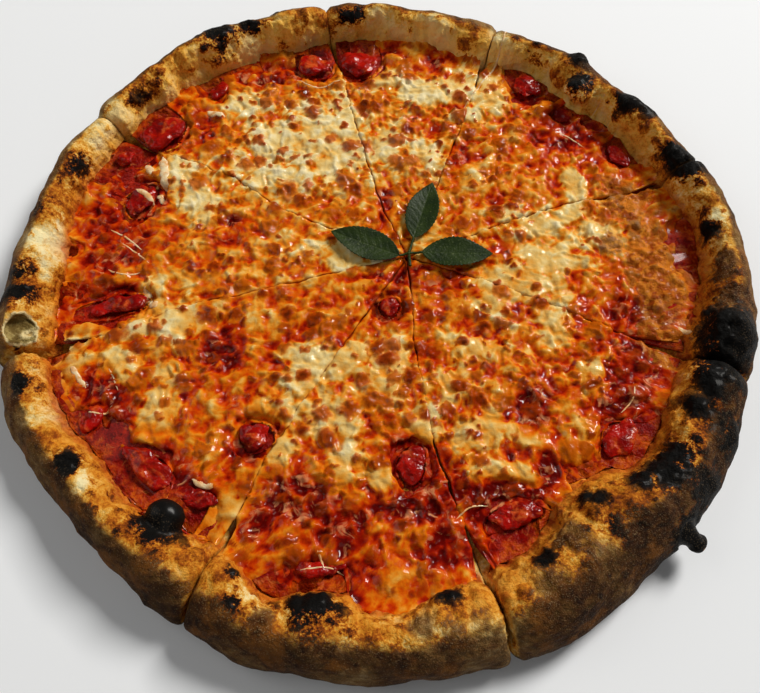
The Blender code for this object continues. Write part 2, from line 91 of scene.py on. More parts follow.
# Places on top of the rim where the floury outer skin reaches in: x, y, height, radius.
DUSTY = [
    (132, 33, 24, 7), (139, 15, 24, 9), (143, 1, 23, 9), (146, -18, 22, 8), (129, 48, 24, 5),
    (60, -130, 18, 9), (78, -122, 19, 10), (92, -112, 19, 9), (100, -104, 18, 7), (-42, -141, 17, 5),
    (34, -143, 17, 5), (-126, -86, 18, 5), (-112, -102, 17, 6), (-97, -118, 16, 7), (-141, -64, 20, 4),
    (-62, -138, 15, 5), (104, 112, 22, 7), (70, 142, 20, 5), (14, -145, 16, 6), (24, -145, 16, 7),
    (33, -143, 15, 7), (70, -115, 18, 8), (86, -107, 18, 6),
]
# Smooth swollen beads of charred dough: x, y, height, radius.
BEADS = [(-80, -102.5, 13.5, 8), (112.5, -110, 12.5, 6), (96.5, 100.5, 17, 4)]
# Bubbles that burst and left a hollow: x, y, height, radius.
BURST = [(-143.5, -29, 23, 7)]
# Places left pale by the bench flour: x, y, height, radius.
FLOURED = [
    (-143, 14, 20, 10), (-146, 2, 19, 7), (-138, 26, 18, 6), (-110, -90, 20, 5), (-66, 131, 15, 11),
    (-55, 130, 13, 7), (-98, 104, 17, 6), (140, 36, 20, 9), (146, 24, 19, 6), (9, -133, 20, 5),
    (4, -137, 17, 5), (-30, -140, 18, 5), (-126, -63, 20, 8), (-134, -42, 21, 7), (28, 138, 15, 11),
    (10, 140, 16, 6), (-119, 76, 16, 7), (122, -22, 17, 7), (60, 132, 16, 7), (-43, -129, 20, 8),
    (15, -136, 19, 8), (40, 124, 14, 8), (-120, 82, 21, 6),
]
# Places glazed amber by hot oil: x, y, height, radius.
GLAZED = [
    (44, -125, 20, 11), (54, -113, 18, 9), (24, -133, 18, 9), (-4, -133, 19, 9), (-66, -118, 15, 10),
    (-98, -92, 17, 9), (-122, -70, 17, 8), (-92, 112, 21, 9), (-112, 98, 20, 6), (-30, 150, 20, 8),
    (90, -88, 17, 12), (72, -94, 15, 12), (118, -60, 15, 9), (126, 28, 16, 12), (132, 4, 15, 12),
    (92, 112, 17, 8), (118, 74, 15, 10), (48, 136, 19, 8), (-44, 146, 19, 7), (126, -30, 13, 7),
    (5, -142, 15, 7), (15, -133, 17, 9), (31, -132, 17, 9), (62, -107, 17, 9),
]


class Wire:
    """One value inside a recipe. Arithmetic on it adds Math nodes."""

    def __init__(self, recipe, socket):
        self.recipe = recipe
        self.socket = socket

    def calc(self, operation, *values):
        return self.recipe.add("ShaderNodeMath", {"operation": operation}, dict(enumerate(values)))

    def __add__(self, other):
        return self.calc("ADD", self, other)

    def __radd__(self, other):
        return self.calc("ADD", other, self)

    def __sub__(self, other):
        return self.calc("SUBTRACT", self, other)

    def __rsub__(self, other):
        return self.calc("SUBTRACT", other, self)

    def __mul__(self, other):
        return self.calc("MULTIPLY", self, other)

    def __rmul__(self, other):
        return self.calc("MULTIPLY", other, self)

    def __truediv__(self, other):
        return self.calc("DIVIDE", self, other)

    def most(self, other):
        return self.calc("MAXIMUM", self, other)

    def least(self, other):
        return self.calc("MINIMUM", self, other)

    def size(self):
        return self.calc("ABSOLUTE", self)

    def rise(self, low, high):
        """0 below low, 1 above high, and a smooth rise between. With low above high it falls."""
        values = {"Value": self, "From Min": low, "From Max": high}
        return self.recipe.add("ShaderNodeMapRange", {"interpolation_type": "SMOOTHSTEP"}, values)

    def part(self, name):
        """Another output of the same node."""
        return Wire(self.recipe, self.socket.node.outputs[name])


class Recipe:
    """A node tree that is written step by step."""

    def __init__(self, tree):
        self.tree = tree

    def add(self, kind, settings=None, sockets=None):
        """Adds a node: its settings first, then the value or wire of each socket. Gives its first output."""
        node = self.tree.nodes.new(kind)
        for name, value in (settings or {}).items():
            setattr(node, name, value)
        for key, value in (sockets or {}).items():
            socket = node.inputs[key] if isinstance(key, int) else open_socket(node.inputs, key)
            if isinstance(value, Wire):
                self.tree.links.new(value.socket, socket)
            else:
                socket.default_value = value
        outputs = [socket for socket in node.outputs if socket.enabled]
        return Wire(self, outputs[0]) if outputs else None

    def vector(self, operation, *values, **named):
        """Vector arithmetic: values in the order of the sockets, or by the name of a socket."""
        sockets = dict(enumerate(values))
        sockets.update({name.capitalize(): value for name, value in named.items()})
        return self.add("ShaderNodeVectorMath", {"operation": operation}, sockets)

    def axis(self, name, vector):
        """The X, Y or Z of a vector."""
        return self.add("ShaderNodeSeparateXYZ", None, {"Vector": vector}).part(name)

    def noise(self, place, size, detail=2.0, roughness=0.5, warp=0.0):
        """Cloudy noise from 0 to 1 whose lumps are about size millimetres across."""
        values = {"Vector": place, "Scale": 1.0 / size, "Detail": detail}
        values.update({"Roughness": roughness, "Distortion": warp})
        return self.add("ShaderNodeTexNoise", None, values)

    def read(self, name):
        """A value stored on the corners, in a geometry recipe."""
        return self.add("GeometryNodeInputNamedAttribute", {"data_type": "FLOAT"}, {"Name": name})

    def mix(self, share, first, second):
        """A colour that goes from first to second as share goes from 0 to 1."""
        return self.add("ShaderNodeMix", {"data_type": "RGBA"}, {0: share, 6: first, 7: second}).part(2)

    def ramp(self, value, stops):
        """Colours laid along a value: each stop is the value it is for, then its red, green and blue."""
        blend = self.add("ShaderNodeValToRGB", None, {"Fac": value})
        elements = blend.socket.node.color_ramp.elements
        while len(elements) < len(stops):
            elements.new(1.0)
        for element, (position, *colour) in zip(elements, stops):
            element.position = position
            element.color = paint(*colour)
        return blend


def open_socket(sockets, name):
    """The socket of this name that the node's settings leave in use."""
    return next(socket for socket in sockets if socket.name == name and socket.enabled)


def paint(red, green, blue):
    """A colour given as it is seen on a screen, from 0 to 255, as the light it reflects."""
    shares = [channel / 255 for channel in (red, green, blue)]
    return (*[s / 12.92 if s < 0.04045 else ((s + 0.055) / 1.055) ** 2.4 for s in shares], 1.0)


def settled(piece):
    """The piece with its modifiers worked into its mesh."""
    graph = bpy.context.evaluated_depsgraph_get()
    mesh = bpy.data.meshes.new_from_object(piece.evaluated_get(graph))
    old = piece.data
    piece.modifiers.clear()
    piece.data = mesh
    bpy.data.meshes.remove(old)
    return piece


def placed(name, data):
    """A new object in the scene."""
    thing = bpy.data.objects.new(name, data)
    bpy.context.scene.collection.objects.link(thing)
    return thing


def joined_copy(name, nodes):
    """A new piece with the surfaces of some solids, their loose triangles joined at the corners."""
    bm = bmesh.new()
    for node in nodes:
        bm.from_mesh(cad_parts[node].data)
    bmesh.ops.remove_doubles(bm, verts=bm.verts, dist=0.001 * MM)
    mesh = bpy.data.meshes.new(name)
    bm.to_mesh(mesh)
    bm.free()
    return placed(name, mesh)


def fine_skin(name, node, grain):
    """A new piece over one solid, rebuilt as even squares whose side is grain."""
    piece = joined_copy(name, [node])
    remesh = piece.modifiers.new("even_squares", "REMESH")
    remesh.mode = "VOXEL"
    remesh.voxel_size = grain * MM
    remesh.use_smooth_shade = True
    return settled(piece)


def corners(piece):
    """The places of a piece's corners, in millimetres."""
    places = np.empty(len(piece.data.vertices) * 3)
    piece.data.vertices.foreach_get("co", places)
    return places.reshape(-1, 3) / MM


def note(piece, name, values):
    """Stores one value for each corner of the piece."""
    piece.data.attributes.new(name, "FLOAT", "POINT").data.foreach_set("value", values)


def round_marks(places, marks):
    """How far inside the nearest ball-shaped mark each place lies: 1 in its middle, 0.5 on its edge."""
    depth = np.zeros(len(places))
    for x, y, height, radius in marks:
        away = np.linalg.norm(places - (x, y, height), axis=1) / radius
        depth = np.maximum(depth, 1 - away / 2)
    return depth


def new_tree(name, inputs):
    """A geometry recipe with its inputs: (name, socket type). Gives the recipe, its wires and their ids."""
    tree = bpy.data.node_groups.new(name, "GeometryNodeTree")
    tree.is_modifier = True
    tree.interface.new_socket("Geometry", in_out="OUTPUT", socket_type="NodeSocketGeometry")
    ids = {}
    for label, kind in [("Geometry", "NodeSocketGeometry"), *inputs]:
        ids[label] = tree.interface.new_socket(label, in_out="INPUT", socket_type=kind).identifier
    recipe = Recipe(tree)
    entry = tree.nodes.new("NodeGroupInput")
    wires = {label: Wire(recipe, entry.outputs[label]) for label in ids}
    return recipe, wires, ids


def end_tree(recipe, geometry, finish):
    """Closes a geometry recipe: real mesh, smooth, in its own finish. Gives its node tree."""
    smooth = recipe.add("GeometryNodeSetShadeSmooth", None, {"Geometry": geometry})
    real = recipe.add("GeometryNodeRealizeInstances", None, {"Geometry": smooth})
    finished = recipe.add("GeometryNodeSetMaterial", None, {"Geometry": real, "Material": finish})
    recipe.add("NodeGroupOutput", None, {"Geometry": finished})
    return recipe.tree


def run_tree(piece, tree_and_ids, **values):
    """Runs a geometry recipe on a piece and keeps the result as a plain mesh."""
    tree, ids = tree_and_ids
    modifier = piece.modifiers.new(tree.name, "NODES")
    modifier.node_group = tree
    for label, value in values.items():
        modifier[ids[label]] = value
    return settled(piece)


def run_beside(piece, tree_and_ids, kind, number, **values):
    """Runs a geometry recipe on one slice of a kind, with the solids of the other slices beside it."""
    others = joined_copy("others", ["%s_%d" % (kind, other) for other in SLICES if other != number])
    run_tree(piece, tree_and_ids, Neighbours=others, **values)
    bpy.data.objects.remove(others)


def keep_value(recipe, geometry, name, value):
    """Stores a value on every corner, for the finish to read."""
    sockets = {"Geometry": geometry, "Name": name, "Value": value}
    return recipe.add("GeometryNodeStoreNamedAttribute", {"domain": "POINT"}, sockets)


def surface_of(recipe, piece):
    """The mesh of another piece."""
    return recipe.add("GeometryNodeObjectInfo", None, {"Object": piece}).part("Geometry")


def way_to(recipe, surface):
    """How far each corner is from a surface, in millimetres, and the way there."""
    near = recipe.add("GeometryNodeProximity", {"target_element": "FACES"}, {0: surface})
    way = recipe.vector("SUBTRACT", near.part("Position"), recipe.add("GeometryNodeInputPosition"))
    return near.part("Distance") * (1 / MM), way


def moved(recipe, geometry, offset):
    """The geometry with every corner shifted by its own offset, in metres."""
    return recipe.add("GeometryNodeSetPosition", None, {"Geometry": geometry, "Offset": offset})


def lifted(recipe, geometry, height):
    """The geometry moved straight up by height, in millimetres."""
    return moved(recipe, geometry, recipe.add("ShaderNodeCombineXYZ", None, {"Z": height * MM}))


def facing_up(recipe):
    """How far each corner's outer side faces up: 1 is level, 0 upright, -1 the underside."""
    return recipe.axis("Z", recipe.add("GeometryNodeInputNormal"))


def eased(recipe, geometry, passes, freedom):
    """The geometry with its facets eased away, where freedom is above 0."""
    here = recipe.add("GeometryNodeInputPosition")
    sockets = {"Value": here, "Iterations": passes, "Weight": freedom}
    soft = recipe.add("GeometryNodeBlurAttribute", {"data_type": "FLOAT_VECTOR"}, sockets)
    return recipe.add("GeometryNodeSetPosition", None, {"Geometry": geometry, "Position": soft})


def raised(recipe, geometry, height):
    """The geometry with its surface moved outwards by height, in millimetres."""
    outwards = recipe.add("GeometryNodeInputNormal")
    return moved(recipe, geometry, recipe.vector("SCALE", outwards, scale=height * MM))


def place_in_mm(recipe):
    """Where each corner is, in millimetres."""
    return recipe.vector("SCALE", recipe.add("GeometryNodeInputPosition"), scale=1 / MM)


def height_of(recipe):
    """How high each corner is, in millimetres."""
    return recipe.axis("Z", place_in_mm(recipe))


# How far the outline of a spot strays from a circle, in millimetres.
SPOT_WOBBLE = 3.0


def spots_over(recipe, geometry, where, *, spacing, smallest, largest, seed):
    """Spots strewn over a surface. Gives how deep each corner lies in its nearest spot, with 0.5 on the
    spot's edge, and a tone from 0 to 1 that each spot has for itself. smallest and largest are radii."""
    sockets = {
        "Mesh": geometry,
        "Distance Min": spacing * MM,
        "Density Max": 1.0 / (0.5 * spacing * MM) ** 2,
        "Density Factor": where,
        "Seed": seed,
    }
    evenly = {"distribute_method": "POISSON"}
    spots = recipe.add("GeometryNodeDistributePointsOnFaces", evenly, sockets)
    nearest = recipe.add("GeometryNodeSampleNearest", {"domain": "POINT"}, {"Geometry": spots})

    def of_nearest(kind, value):
        sockets = {"Geometry": spots, "Value": value, "Index": nearest}
        return recipe.add("GeometryNodeSampleIndex", {"data_type": kind, "domain": "POINT"}, sockets)

    here = recipe.add("GeometryNodeInputPosition")
    wobble = recipe.add("ShaderNodeTexNoise", None, {"Vector": place_in_mm(recipe), "Scale": 0.3})
    shifted = recipe.vector("MULTIPLY_ADD", wobble.part("Color"), (2 * SPOT_WOBBLE * MM,) * 3, here)
    shifted = recipe.vector("SUBTRACT", shifted, (SPOT_WOBBLE * MM,) * 3)
    centre = of_nearest("FLOAT_VECTOR", here)
    away = recipe.vector("DISTANCE", shifted, centre).part("Value") * (1 / MM)
    luck = recipe.add("FunctionNodeRandomValue", {"data_type": "FLOAT"}, {"Seed": seed + 1})
    roll = of_nearest("FLOAT", luck)
    radius = smallest + (largest - smallest) * roll * (0.4 + 0.6 * roll)
    tone = recipe.add("FunctionNodeRandomValue", {"data_type": "FLOAT"}, {"Seed": seed + 2})
    return (1 - away / radius * 0.5).most(0.0), of_nearest("FLOAT", tone)


# Radius of the upright wall that streaks and ridges of the rim are laid out on.
WALL_RADIUS = 150.0


def round_the_rim(recipe, place):
    """For each place: the level way outward, where that way meets an upright wall, and its height."""
    parts = recipe.add("ShaderNodeSeparateXYZ", None, {"Vector": place})
    flat_place = recipe.add("ShaderNodeCombineXYZ", None, {"X": parts, "Y": parts.part("Y")})
    outward = recipe.vector("NORMALIZE", flat_place)
    return outward, recipe.vector("SCALE", outward, scale=WALL_RADIUS), parts.part("Z")


def stretched(recipe, wall_place, height, along, upright):
    """The place on the wall, shrunk along the rim and upright, so that noise on it runs long."""
    sideways = recipe.vector("SCALE", wall_place, scale=along)
    upwards = recipe.add("ShaderNodeCombineXYZ", None, {"Z": height * upright})
    return recipe.vector("ADD", sideways, upwards)


def dough_tree(finish):
    """Eases the facets of a slice of dough, then raises its folds, bubbles and blistered spots."""
    recipe, wires, ids = new_tree("raised_dough", [("Neighbours", "NodeSocketObject")])
    neighbours = surface_of(recipe, wires["Neighbours"])
    shape = keep_value(recipe, wires["Geometry"], "gap", way_to(recipe, neighbours)[0])
    gap = recipe.read("gap")
    shape = eased(recipe, shape, 22, gap.rise(0.4, 5.0) * 0.9 + 0.02)
    height = height_of(recipe)
    open_gap, across = way_to(recipe, neighbours)
    foot = open_gap.rise(4.5, 3.6) * height.rise(7.0, 3.0)
    closing = foot * 0.5 + (1 - foot) * open_gap.rise(2.4, 1.6) * 0.36
    shape = moved(recipe, shape, recipe.vector("SCALE", across, scale=closing))

    place = place_in_mm(recipe)
    outward, wall_place, height = round_the_rim(recipe, place)
    facing = recipe.vector("DOT_PRODUCT", recipe.add("GeometryNodeInputNormal"), outward).part("Value")
    shape = keep_value(recipe, shape, "outward", facing)

    free = gap.rise(0.3, 4.0) * height.rise(1.0, 5.0)
    rim = height.rise(9.0, 14.0)
    bubble, tone = spots_over(recipe, shape, rim, spacing=5.5, smallest=1.0, largest=4.6, seed=5)
    shape = keep_value(recipe, shape, "bubble", bubble)
    shape = keep_value(recipe, shape, "tone", tone)
    lumps = recipe.noise(place, 24, 2.0) - 0.5
    bumps = recipe.noise(place, 9, 2.0, 0.5) - 0.5
    grains = recipe.noise(place, 2.4, 2.0, 0.6) - 0.5
    pits = recipe.noise(place, 3.2, 1.0).rise(0.36, 0.24)
    burst = recipe.read("burst")
    ridges = recipe.noise(stretched(recipe, wall_place, height, 1.0, 0.3), 7, 2.0) - 0.5
    ridges = ridges * (0 - facing).rise(0.1, 0.6)
    wrinkles = recipe.noise(stretched(recipe, wall_place, height, 0.3, 1.0), 4, 2.0, 0.6) - 0.5
    wrinkles = wrinkles * facing.rise(0.0, 0.6)
    burnt = recipe.read("charred").rise(0.4, 0.75)
    skirt = 1 - 0.85 * facing.rise(-0.2, 0.5)
    relief = lumps * 7.0 + (bumps * 4.5 + grains * 1.2 - pits * 0.8) * skirt + ridges * 4.0 + wrinkles * 1.2
    relief = relief + burnt * (0.6 + 2.0 * bumps) + bubble.rise(0.4, 0.9) * skirt * 0.7
    torn_lip = burst.rise(0.4, 0.48) * burst.rise(0.58, 0.52)
    relief = relief + torn_lip * grains * 2.5 - burst.rise(0.5, 0.66) * 2.5
    calm = 1 - recipe.read("bead").rise(0.4, 0.55) * 0.85
    shape = raised(recipe, shape, free * relief * calm)
    return end_tree(recipe, shape, finish), ids


def object_place(recipe):
    """Where each point of the surface is, in millimetres."""
    place = recipe.add("ShaderNodeTexCoord").part("Object")
    return recipe.vector("SCALE", place, scale=1 / MM)


def noted(recipe, name):
    """A value that was stored on the corners."""
    return recipe.add("ShaderNodeAttribute", {"attribute_name": name}).part("Fac")


def new_finish(name):
    """An empty material and its recipe."""
    finish = bpy.data.materials.new(name)
    finish.use_nodes = True
    finish.node_tree.nodes.clear()
    return finish, Recipe(finish.node_tree)


def close_finish(recipe, relief, relief_depth, **sockets):
    """Ends a material: the relief becomes its bump, relief_depth millimetres deep, and each other value
    goes to the socket of its name on the surface."""
    bump = {"Height": relief, "Distance": relief_depth * MM, "Strength": 1.0}
    values = {name.replace("_", " "): value for name, value in sockets.items()}
    values["Normal"] = recipe.add("ShaderNodeBump", None, bump)
    surface = recipe.add("ShaderNodeBsdfPrincipled", None, values)
    recipe.add("ShaderNodeOutputMaterial", None, {"Surface": surface})


def crust_finish():
    """Baked crust. One value says how far each place is baked, from pale floury dough through gold and
    brown to soot; the outer wall is dusted with flour and the slope near the topping shines with oil.
    Painted light and shade: the inner slope at the back is painted paler, the outer wall darker towards
    its bottom and at the front, and the pores of the cut crumb dark."""
    finish, recipe = new_finish("baked_crust")
    place = object_place(recipe)
    wall_place, height = round_the_rim(recipe, place)[1:]
    clouds = recipe.noise(place, 14, 4.0, 0.6) - 0.5
    flecks = recipe.noise(place, 4.4, 4.0, 0.7) - 0.5
    specks = recipe.noise(place, 1.1, 3.0, 0.7) - 0.5
    streaks = recipe.noise(stretched(recipe, wall_place, height, 1.0, 0.22), 3.5, 3.0, 0.6) - 0.5
    crinkles = recipe.noise(stretched(recipe, wall_place, height, 0.4, 1.0), 1.5, 3.0, 0.6) - 0.5
    outward = noted(recipe, "outward")
    inward = (0 - outward).rise(0.1, 0.7)
    gap = noted(recipe, "gap")
    toasted = (noted(recipe, "toasted") - 0.3).most(0.0)
    floured = (noted(recipe, "floured") - 0.25).most(0.0)
    charred = noted(recipe, "charred")

    baked = 0.33 + clouds * 0.9 + flecks * 0.7 + specks * 0.35 + streaks * inward * 0.6
    front = recipe.axis("Y", place).rise(110.0, 30.0)
    # Painted light: the inner slope at the back is made paler, as if more light fell on it.
    baked = baked + toasted * 0.4 - floured * 0.65 - (1 - front) * inward * 0.2
    golden = noted(recipe, "glazed").rise(0.25, 0.7) * (1 - toasted * 0.75)
    baked = baked + (0.37 + flecks * 0.5 - baked) * golden * 0.85
    freckle = (noted(recipe, "bubble") + flecks * 0.8 + specks * 0.6).rise(0.3, 0.95) * noted(recipe, "tone")
    baked = baked + freckle * 0.5 + charred.rise(0.05, 0.5) * (0.18 + flecks * 0.9 + specks * 0.4)
    soot = (charred + flecks * 0.55 + clouds * 0.3 + specks * 0.15).rise(0.32, 0.62)
    baked = baked + soot * 0.75
    stops = [
        (0.0, 238, 224, 172), (0.16, 234, 204, 134), (0.3, 222, 168, 72), (0.42, 204, 132, 34),
        (0.54, 164, 86, 14), (0.68, 108, 48, 8), (0.8, 52, 22, 6), (0.92, 14, 8, 5),
        (1.0, 5, 4, 3),
    ]
    colour = recipe.ramp(baked, stops)
    oiled = inward * height.rise(19.0, 8.0) * (1 - soot) * (0.2 + 0.8 * front) * (1 - toasted * 0.9)
    oil_gold = recipe.mix(flecks.rise(-0.08, 0.16), paint(226, 142, 32), paint(156, 66, 8))
    oil_gold = recipe.mix(specks.rise(0.1, 0.2) * 0.6, oil_gold, paint(98, 36, 6))
    glaze = noted(recipe, "glazed").rise(0.2, 0.7) * (1 - soot) * (1 - toasted) * 0.5
    colour = recipe.mix((oiled * (0.75 + clouds * 1.5)).most(glaze).least(0.9), colour, oil_gold)

    stained = inward * (height + clouds * 12 + flecks * 8).rise(12.0, 8.0) * (0.3 + 0.7 * front)
    stain = recipe.mix(flecks.rise(-0.1, 0.1), paint(196, 96, 20), paint(156, 46, 8))
    colour = recipe.mix(stained * 0.75, colour, stain)

    # Painted light: where the inner slope at the back is not browned, it is brightened towards pale gold.
    painted_back_light = (1 - front) * inward * baked.rise(0.5, 0.25) * (0.6 + clouds * 1.2)
    colour = recipe.mix(painted_back_light, colour, paint(246, 190, 78))

    wall = (outward + clouds * 0.8 + flecks * 0.4).rise(-0.05, 0.35)
    wall = wall.most((noted(recipe, "dusty") + clouds * 0.4 + flecks * 0.5).rise(0.36, 0.6))
    flour = recipe.noise(place, 0.55, 1.0) - 0.5
    # The dust tone is real toasting, flour and mottle, plus painted shade added below.
    dust_tone_and_shade = 0.58 + toasted * 0.6 - floured * 0.35
    dust_tone_and_shade = dust_tone_and_shade + clouds * 0.9 + flecks * 0.6 - specks * 0.7 - crinkles * 0.8
    # Painted shade: the outer wall is darker towards its bottom and more so at the front, where it also
    # takes more dust tone and fewer pale flour specks.
    painted_front_shade = recipe.axis("Y", place).rise(-30.0, -110.0) * outward.rise(0.05, 0.5)
    dust_tone_and_shade = dust_tone_and_shade + height.rise(12.0, 2.0) * 0.36 + painted_front_shade * 0.14
    dust_stops = [
        (0.0, 180, 162, 122), (0.35, 140, 114, 74), (0.6, 98, 68, 36), (0.85, 56, 34, 16),
        (1.0, 30, 18, 9),
    ]
    dusted = recipe.ramp(dust_tone_and_shade, dust_stops)
    dusted = recipe.mix(clouds.rise(0.02, 0.18) * 0.45, dusted, paint(152, 94, 34))
    dusted = recipe.mix(flour.rise(0.08, 0.2) * (0.5 - painted_front_shade * 0.3), dusted, paint(176, 150, 108))
    colour = recipe.mix(wall * (0.88 + painted_front_shade * 0.07) * (1 - soot), colour, dusted)
    ashen = flour.rise(0.08, 0.2) * soot * outward.rise(-0.3, 0.4)
    colour = recipe.mix(ashen * 0.4, colour, paint(112, 94, 70))

    burst = noted(recipe, "burst")
    hollow = recipe.mix(flecks.rise(-0.1, 0.1), paint(160, 140, 84), paint(110, 88, 44))
    colour = recipe.mix((burst + flecks * 0.3).rise(0.44, 0.5), colour, paint(224, 204, 150))
    colour = recipe.mix((burst + flecks * 0.2).rise(0.5, 0.56), colour, hollow)

    crumb = gap.rise(1.6, 0.7) * height.rise(0.0, 1.0)
    # Painted shade: the pores of the cut crumb are dark.
    holes = recipe.add("ShaderNodeTexVoronoi", None, {"Vector": place, "Scale": 0.45}).part("Distance")
    crumb_with_pore_shade = recipe.mix(holes.rise(0.35, 0.15), paint(196, 146, 76), paint(106, 56, 18))
    colour = recipe.mix(crumb * (0.8 + clouds), colour, crumb_with_pore_shade)

    under = height.rise(1.2, 0.3)
    underside = recipe.mix(clouds.rise(0.0, 0.2), paint(196, 150, 96), paint(60, 34, 18))
    colour = recipe.mix(under, colour, underside)

    relief = flecks * 0.8 + specks * 0.5 + streaks * inward * 0.5 + crinkles * wall * 0.8
    relief = relief * (1 - noted(recipe, "bead").rise(0.4, 0.55) * 0.8)
    coat = {"Coat_Weight": noted(recipe, "bead").rise(0.4, 0.6) * 0.14 + soot * 0.06 + oiled * 0.1}
    coat.update({"Coat_Roughness": 0.25, "Specular_IOR_Level": 0.12, "IOR": 1.45})
    close_finish(recipe, relief, 1.0, Base_Color=colour, Roughness=0.75 - oiled * 0.25, **coat)
    return finish


CRUST_MARKS = {
    "charred": CHARRED,
    "toasted": TOASTED,
    "floured": FLOURED,
    "glazed": GLAZED,
    "dusty": DUSTY,
    "bead": BEADS,
    "burst": BURST,
}
raise_dough = dough_tree(crust_finish())
crust_slices = {}
for number in SLICES:
    slice_of_dough = fine_skin("crust_slice_%d" % number, "dough_%d" % number, DOUGH_GRAIN)
    skin = corners(slice_of_dough)
    for name, marks in CRUST_MARKS.items():
        note(slice_of_dough, name, round_marks(skin, marks))
    run_beside(slice_of_dough, raise_dough, "dough", number)
    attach(slice_of_dough, "root")
    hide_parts("dough_%d" % number)
    crust_slices[number] = slice_of_dough


# Sauce. Crushed tomatoes, spread in a thin wet coat from the middle almost to the rim before baking.
# It shows as a red ring where the cheese stops short, in the cuts, and where the cheese is thin.

def way_to_rim(recipe, rim, lowest):
    """How far each corner is from the part of the rim that is above lowest, and the way there."""
    base = {"Geometry": surface_of(recipe, rim), "Selection": lowest - height_of(recipe)}
    return way_to(recipe, recipe.add("GeometryNodeDeleteGeometry", {"domain": "FACE"}, base))


def sauce_tree(finish):
    """Gives the coat of sauce a finer mesh and its small lumps of pulp."""
    inputs = [("Neighbours", "NodeSocketObject"), ("Rim", "NodeSocketObject")]
    recipe, wires, ids = new_tree("spread_sauce", inputs)
    fine = recipe.add("GeometryNodeSubdivideMesh", None, {"Mesh": wires["Geometry"], "Level": 2})
    gap = way_to(recipe, surface_of(recipe, wires["Neighbours"]))[0]
    to_rim, way = way_to_rim(recipe, wires["Rim"], lowest=6.0)
    shape = keep_value(recipe, fine, "to_rim", to_rim)
    crawl = recipe.vector("SCALE", way, scale=to_rim.rise(12.0, 4.0) * 1.15)
    climb = recipe.add("ShaderNodeCombineXYZ", None, {"Z": to_rim.rise(14.0, 8.0) * 0.8 * MM})
    shape = moved(recipe, shape, recipe.vector("ADD", crawl, climb))
    pulp = recipe.noise(place_in_mm(recipe), 4.5, 3.0, 0.6) - 0.4
    shape = raised(recipe, shape, pulp * 3.2 * facing_up(recipe).rise(0.5, 0.9) * gap.rise(0.3, 2.0))
    return end_tree(recipe, shape, finish), ids


def sauce_finish():
    """Wet cooked tomato: deep red, and orange-gold near the rim, where hot oil gathered and browned."""
    finish, recipe = new_finish("tomato_sauce")
    place = object_place(recipe)
    clouds = recipe.noise(place, 7, 3.0)
    pulp = recipe.noise(place, 2.0, 3.0, 0.6)
    colour = recipe.mix(clouds.rise(0.35, 0.65), paint(126, 9, 3), paint(176, 36, 6))
    colour = recipe.mix(pulp.rise(0.5, 0.7), colour, paint(100, 6, 3))
    film = recipe.noise(place, 5, 3.0, 0.6, 1.0).rise(0.54, 0.68)
    colour = recipe.mix(film * 0.4, colour, paint(218, 128, 64))
    oily = (noted(recipe, "to_rim") + (0.5 - clouds) * 24).rise(11.0, 2.0)
    oil = recipe.mix(pulp.rise(0.4, 0.6), paint(200, 96, 14), paint(160, 46, 6))
    colour = recipe.mix(oily * 0.7, colour, oil)
    coat = {"Coat_Weight": 0.22, "Coat_Roughness": 0.14, "Specular_IOR_Level": 0.08, "IOR": 1.45}
    close_finish(recipe, pulp, 1.2, Base_Color=colour, Roughness=0.35, **coat)
    return finish


spread_sauce = sauce_tree(sauce_finish())
for number in SLICES:
    coat = joined_copy("sauce_coat_%d" % number, ["sauce_%d" % number])
    run_beside(coat, spread_sauce, "sauce", number, Rim=crust_slices[number])
    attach(coat, "root")
    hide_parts("sauce_%d" % number)


# Cheese. Shredded mozzarella melts into one sheet. Where it lay thick it stays creamy, where its oil
# and the sauce came through it is orange, and steam lifts small blisters that brown first.

CHEESE_GRAIN = 0.62
# Middle of the basil sprig, which presses the cheese flat below it.
SPRIG_MIDDLE = (13.2, 13.4, 8.0)

# Thick creamy places: x, y, half length, half width, turn in degrees.
CREAMY = [
    (-24, 76, 26, 22, 0), (-17, 98, 7, 14, 10), (-62, 102, 13, 6, 0), (-50, 57, 22, 7, -10),
    (-96, 62, 11, 9, -50), (-82, 44, 8, 13, 30), (-15, 13, 14, 8, -30), (-48, 80, 14, 10, 0),
    (22, 67, 9, 9, 0), (4, 74, 8, 14, 0), (30, 108, 20, 9, 0), (4, 117, 9, 6, 20), (56, 104, 10, 9, 0),
    (44, 93, 8, 5, 0), (91, 52, 5, 10, 10), (78, 31, 24, 5, 18), (101, 25, 11, 8, -50), (76, 10, 16, 9, 0),
    (58, 35, 9, 5, 0), (61, 0, 17, 10, -20), (79, -2, 4, 9, 20), (48, -9, 6, 12, 30), (75, -22, 7, 9, 0),
    (47, -34, 17, 5, -20), (29, -49, 10, 7, -10), (42, -66, 11, 8, 20), (55, -70, 7, 5, 0),
    (86, -44, 7, 7, 0), (90, -70, 13, 4, -10), (36, -80, 5, 10, 30), (50, -85, 11, 3, 0),
    (4, -43, 9, 14, 0), (18, -66, 6, 8, 0), (-12, -37, 14, 8, 10), (-33, -34, 10, 4, 0),
    (-30, -44, 9, 8, 0), (-84, -19, 12, 9, -10), (-98, -6, 5, 9, 10), (-125, -34, 6, 11, 20),
    (-108, -39, 8, 8, 0), (-104, -22, 10, 5, 30), (-88, -55, 7, 16, 0), (-44, -60, 9, 5, 0),
    (-41, -76, 6, 8, 0), (-14, -82, 9, 8, 0), (-57, -97, 10, 5, 20), (-20, -62, 10, 10, 0),
    (0, -88, 5, 6, 0),
]
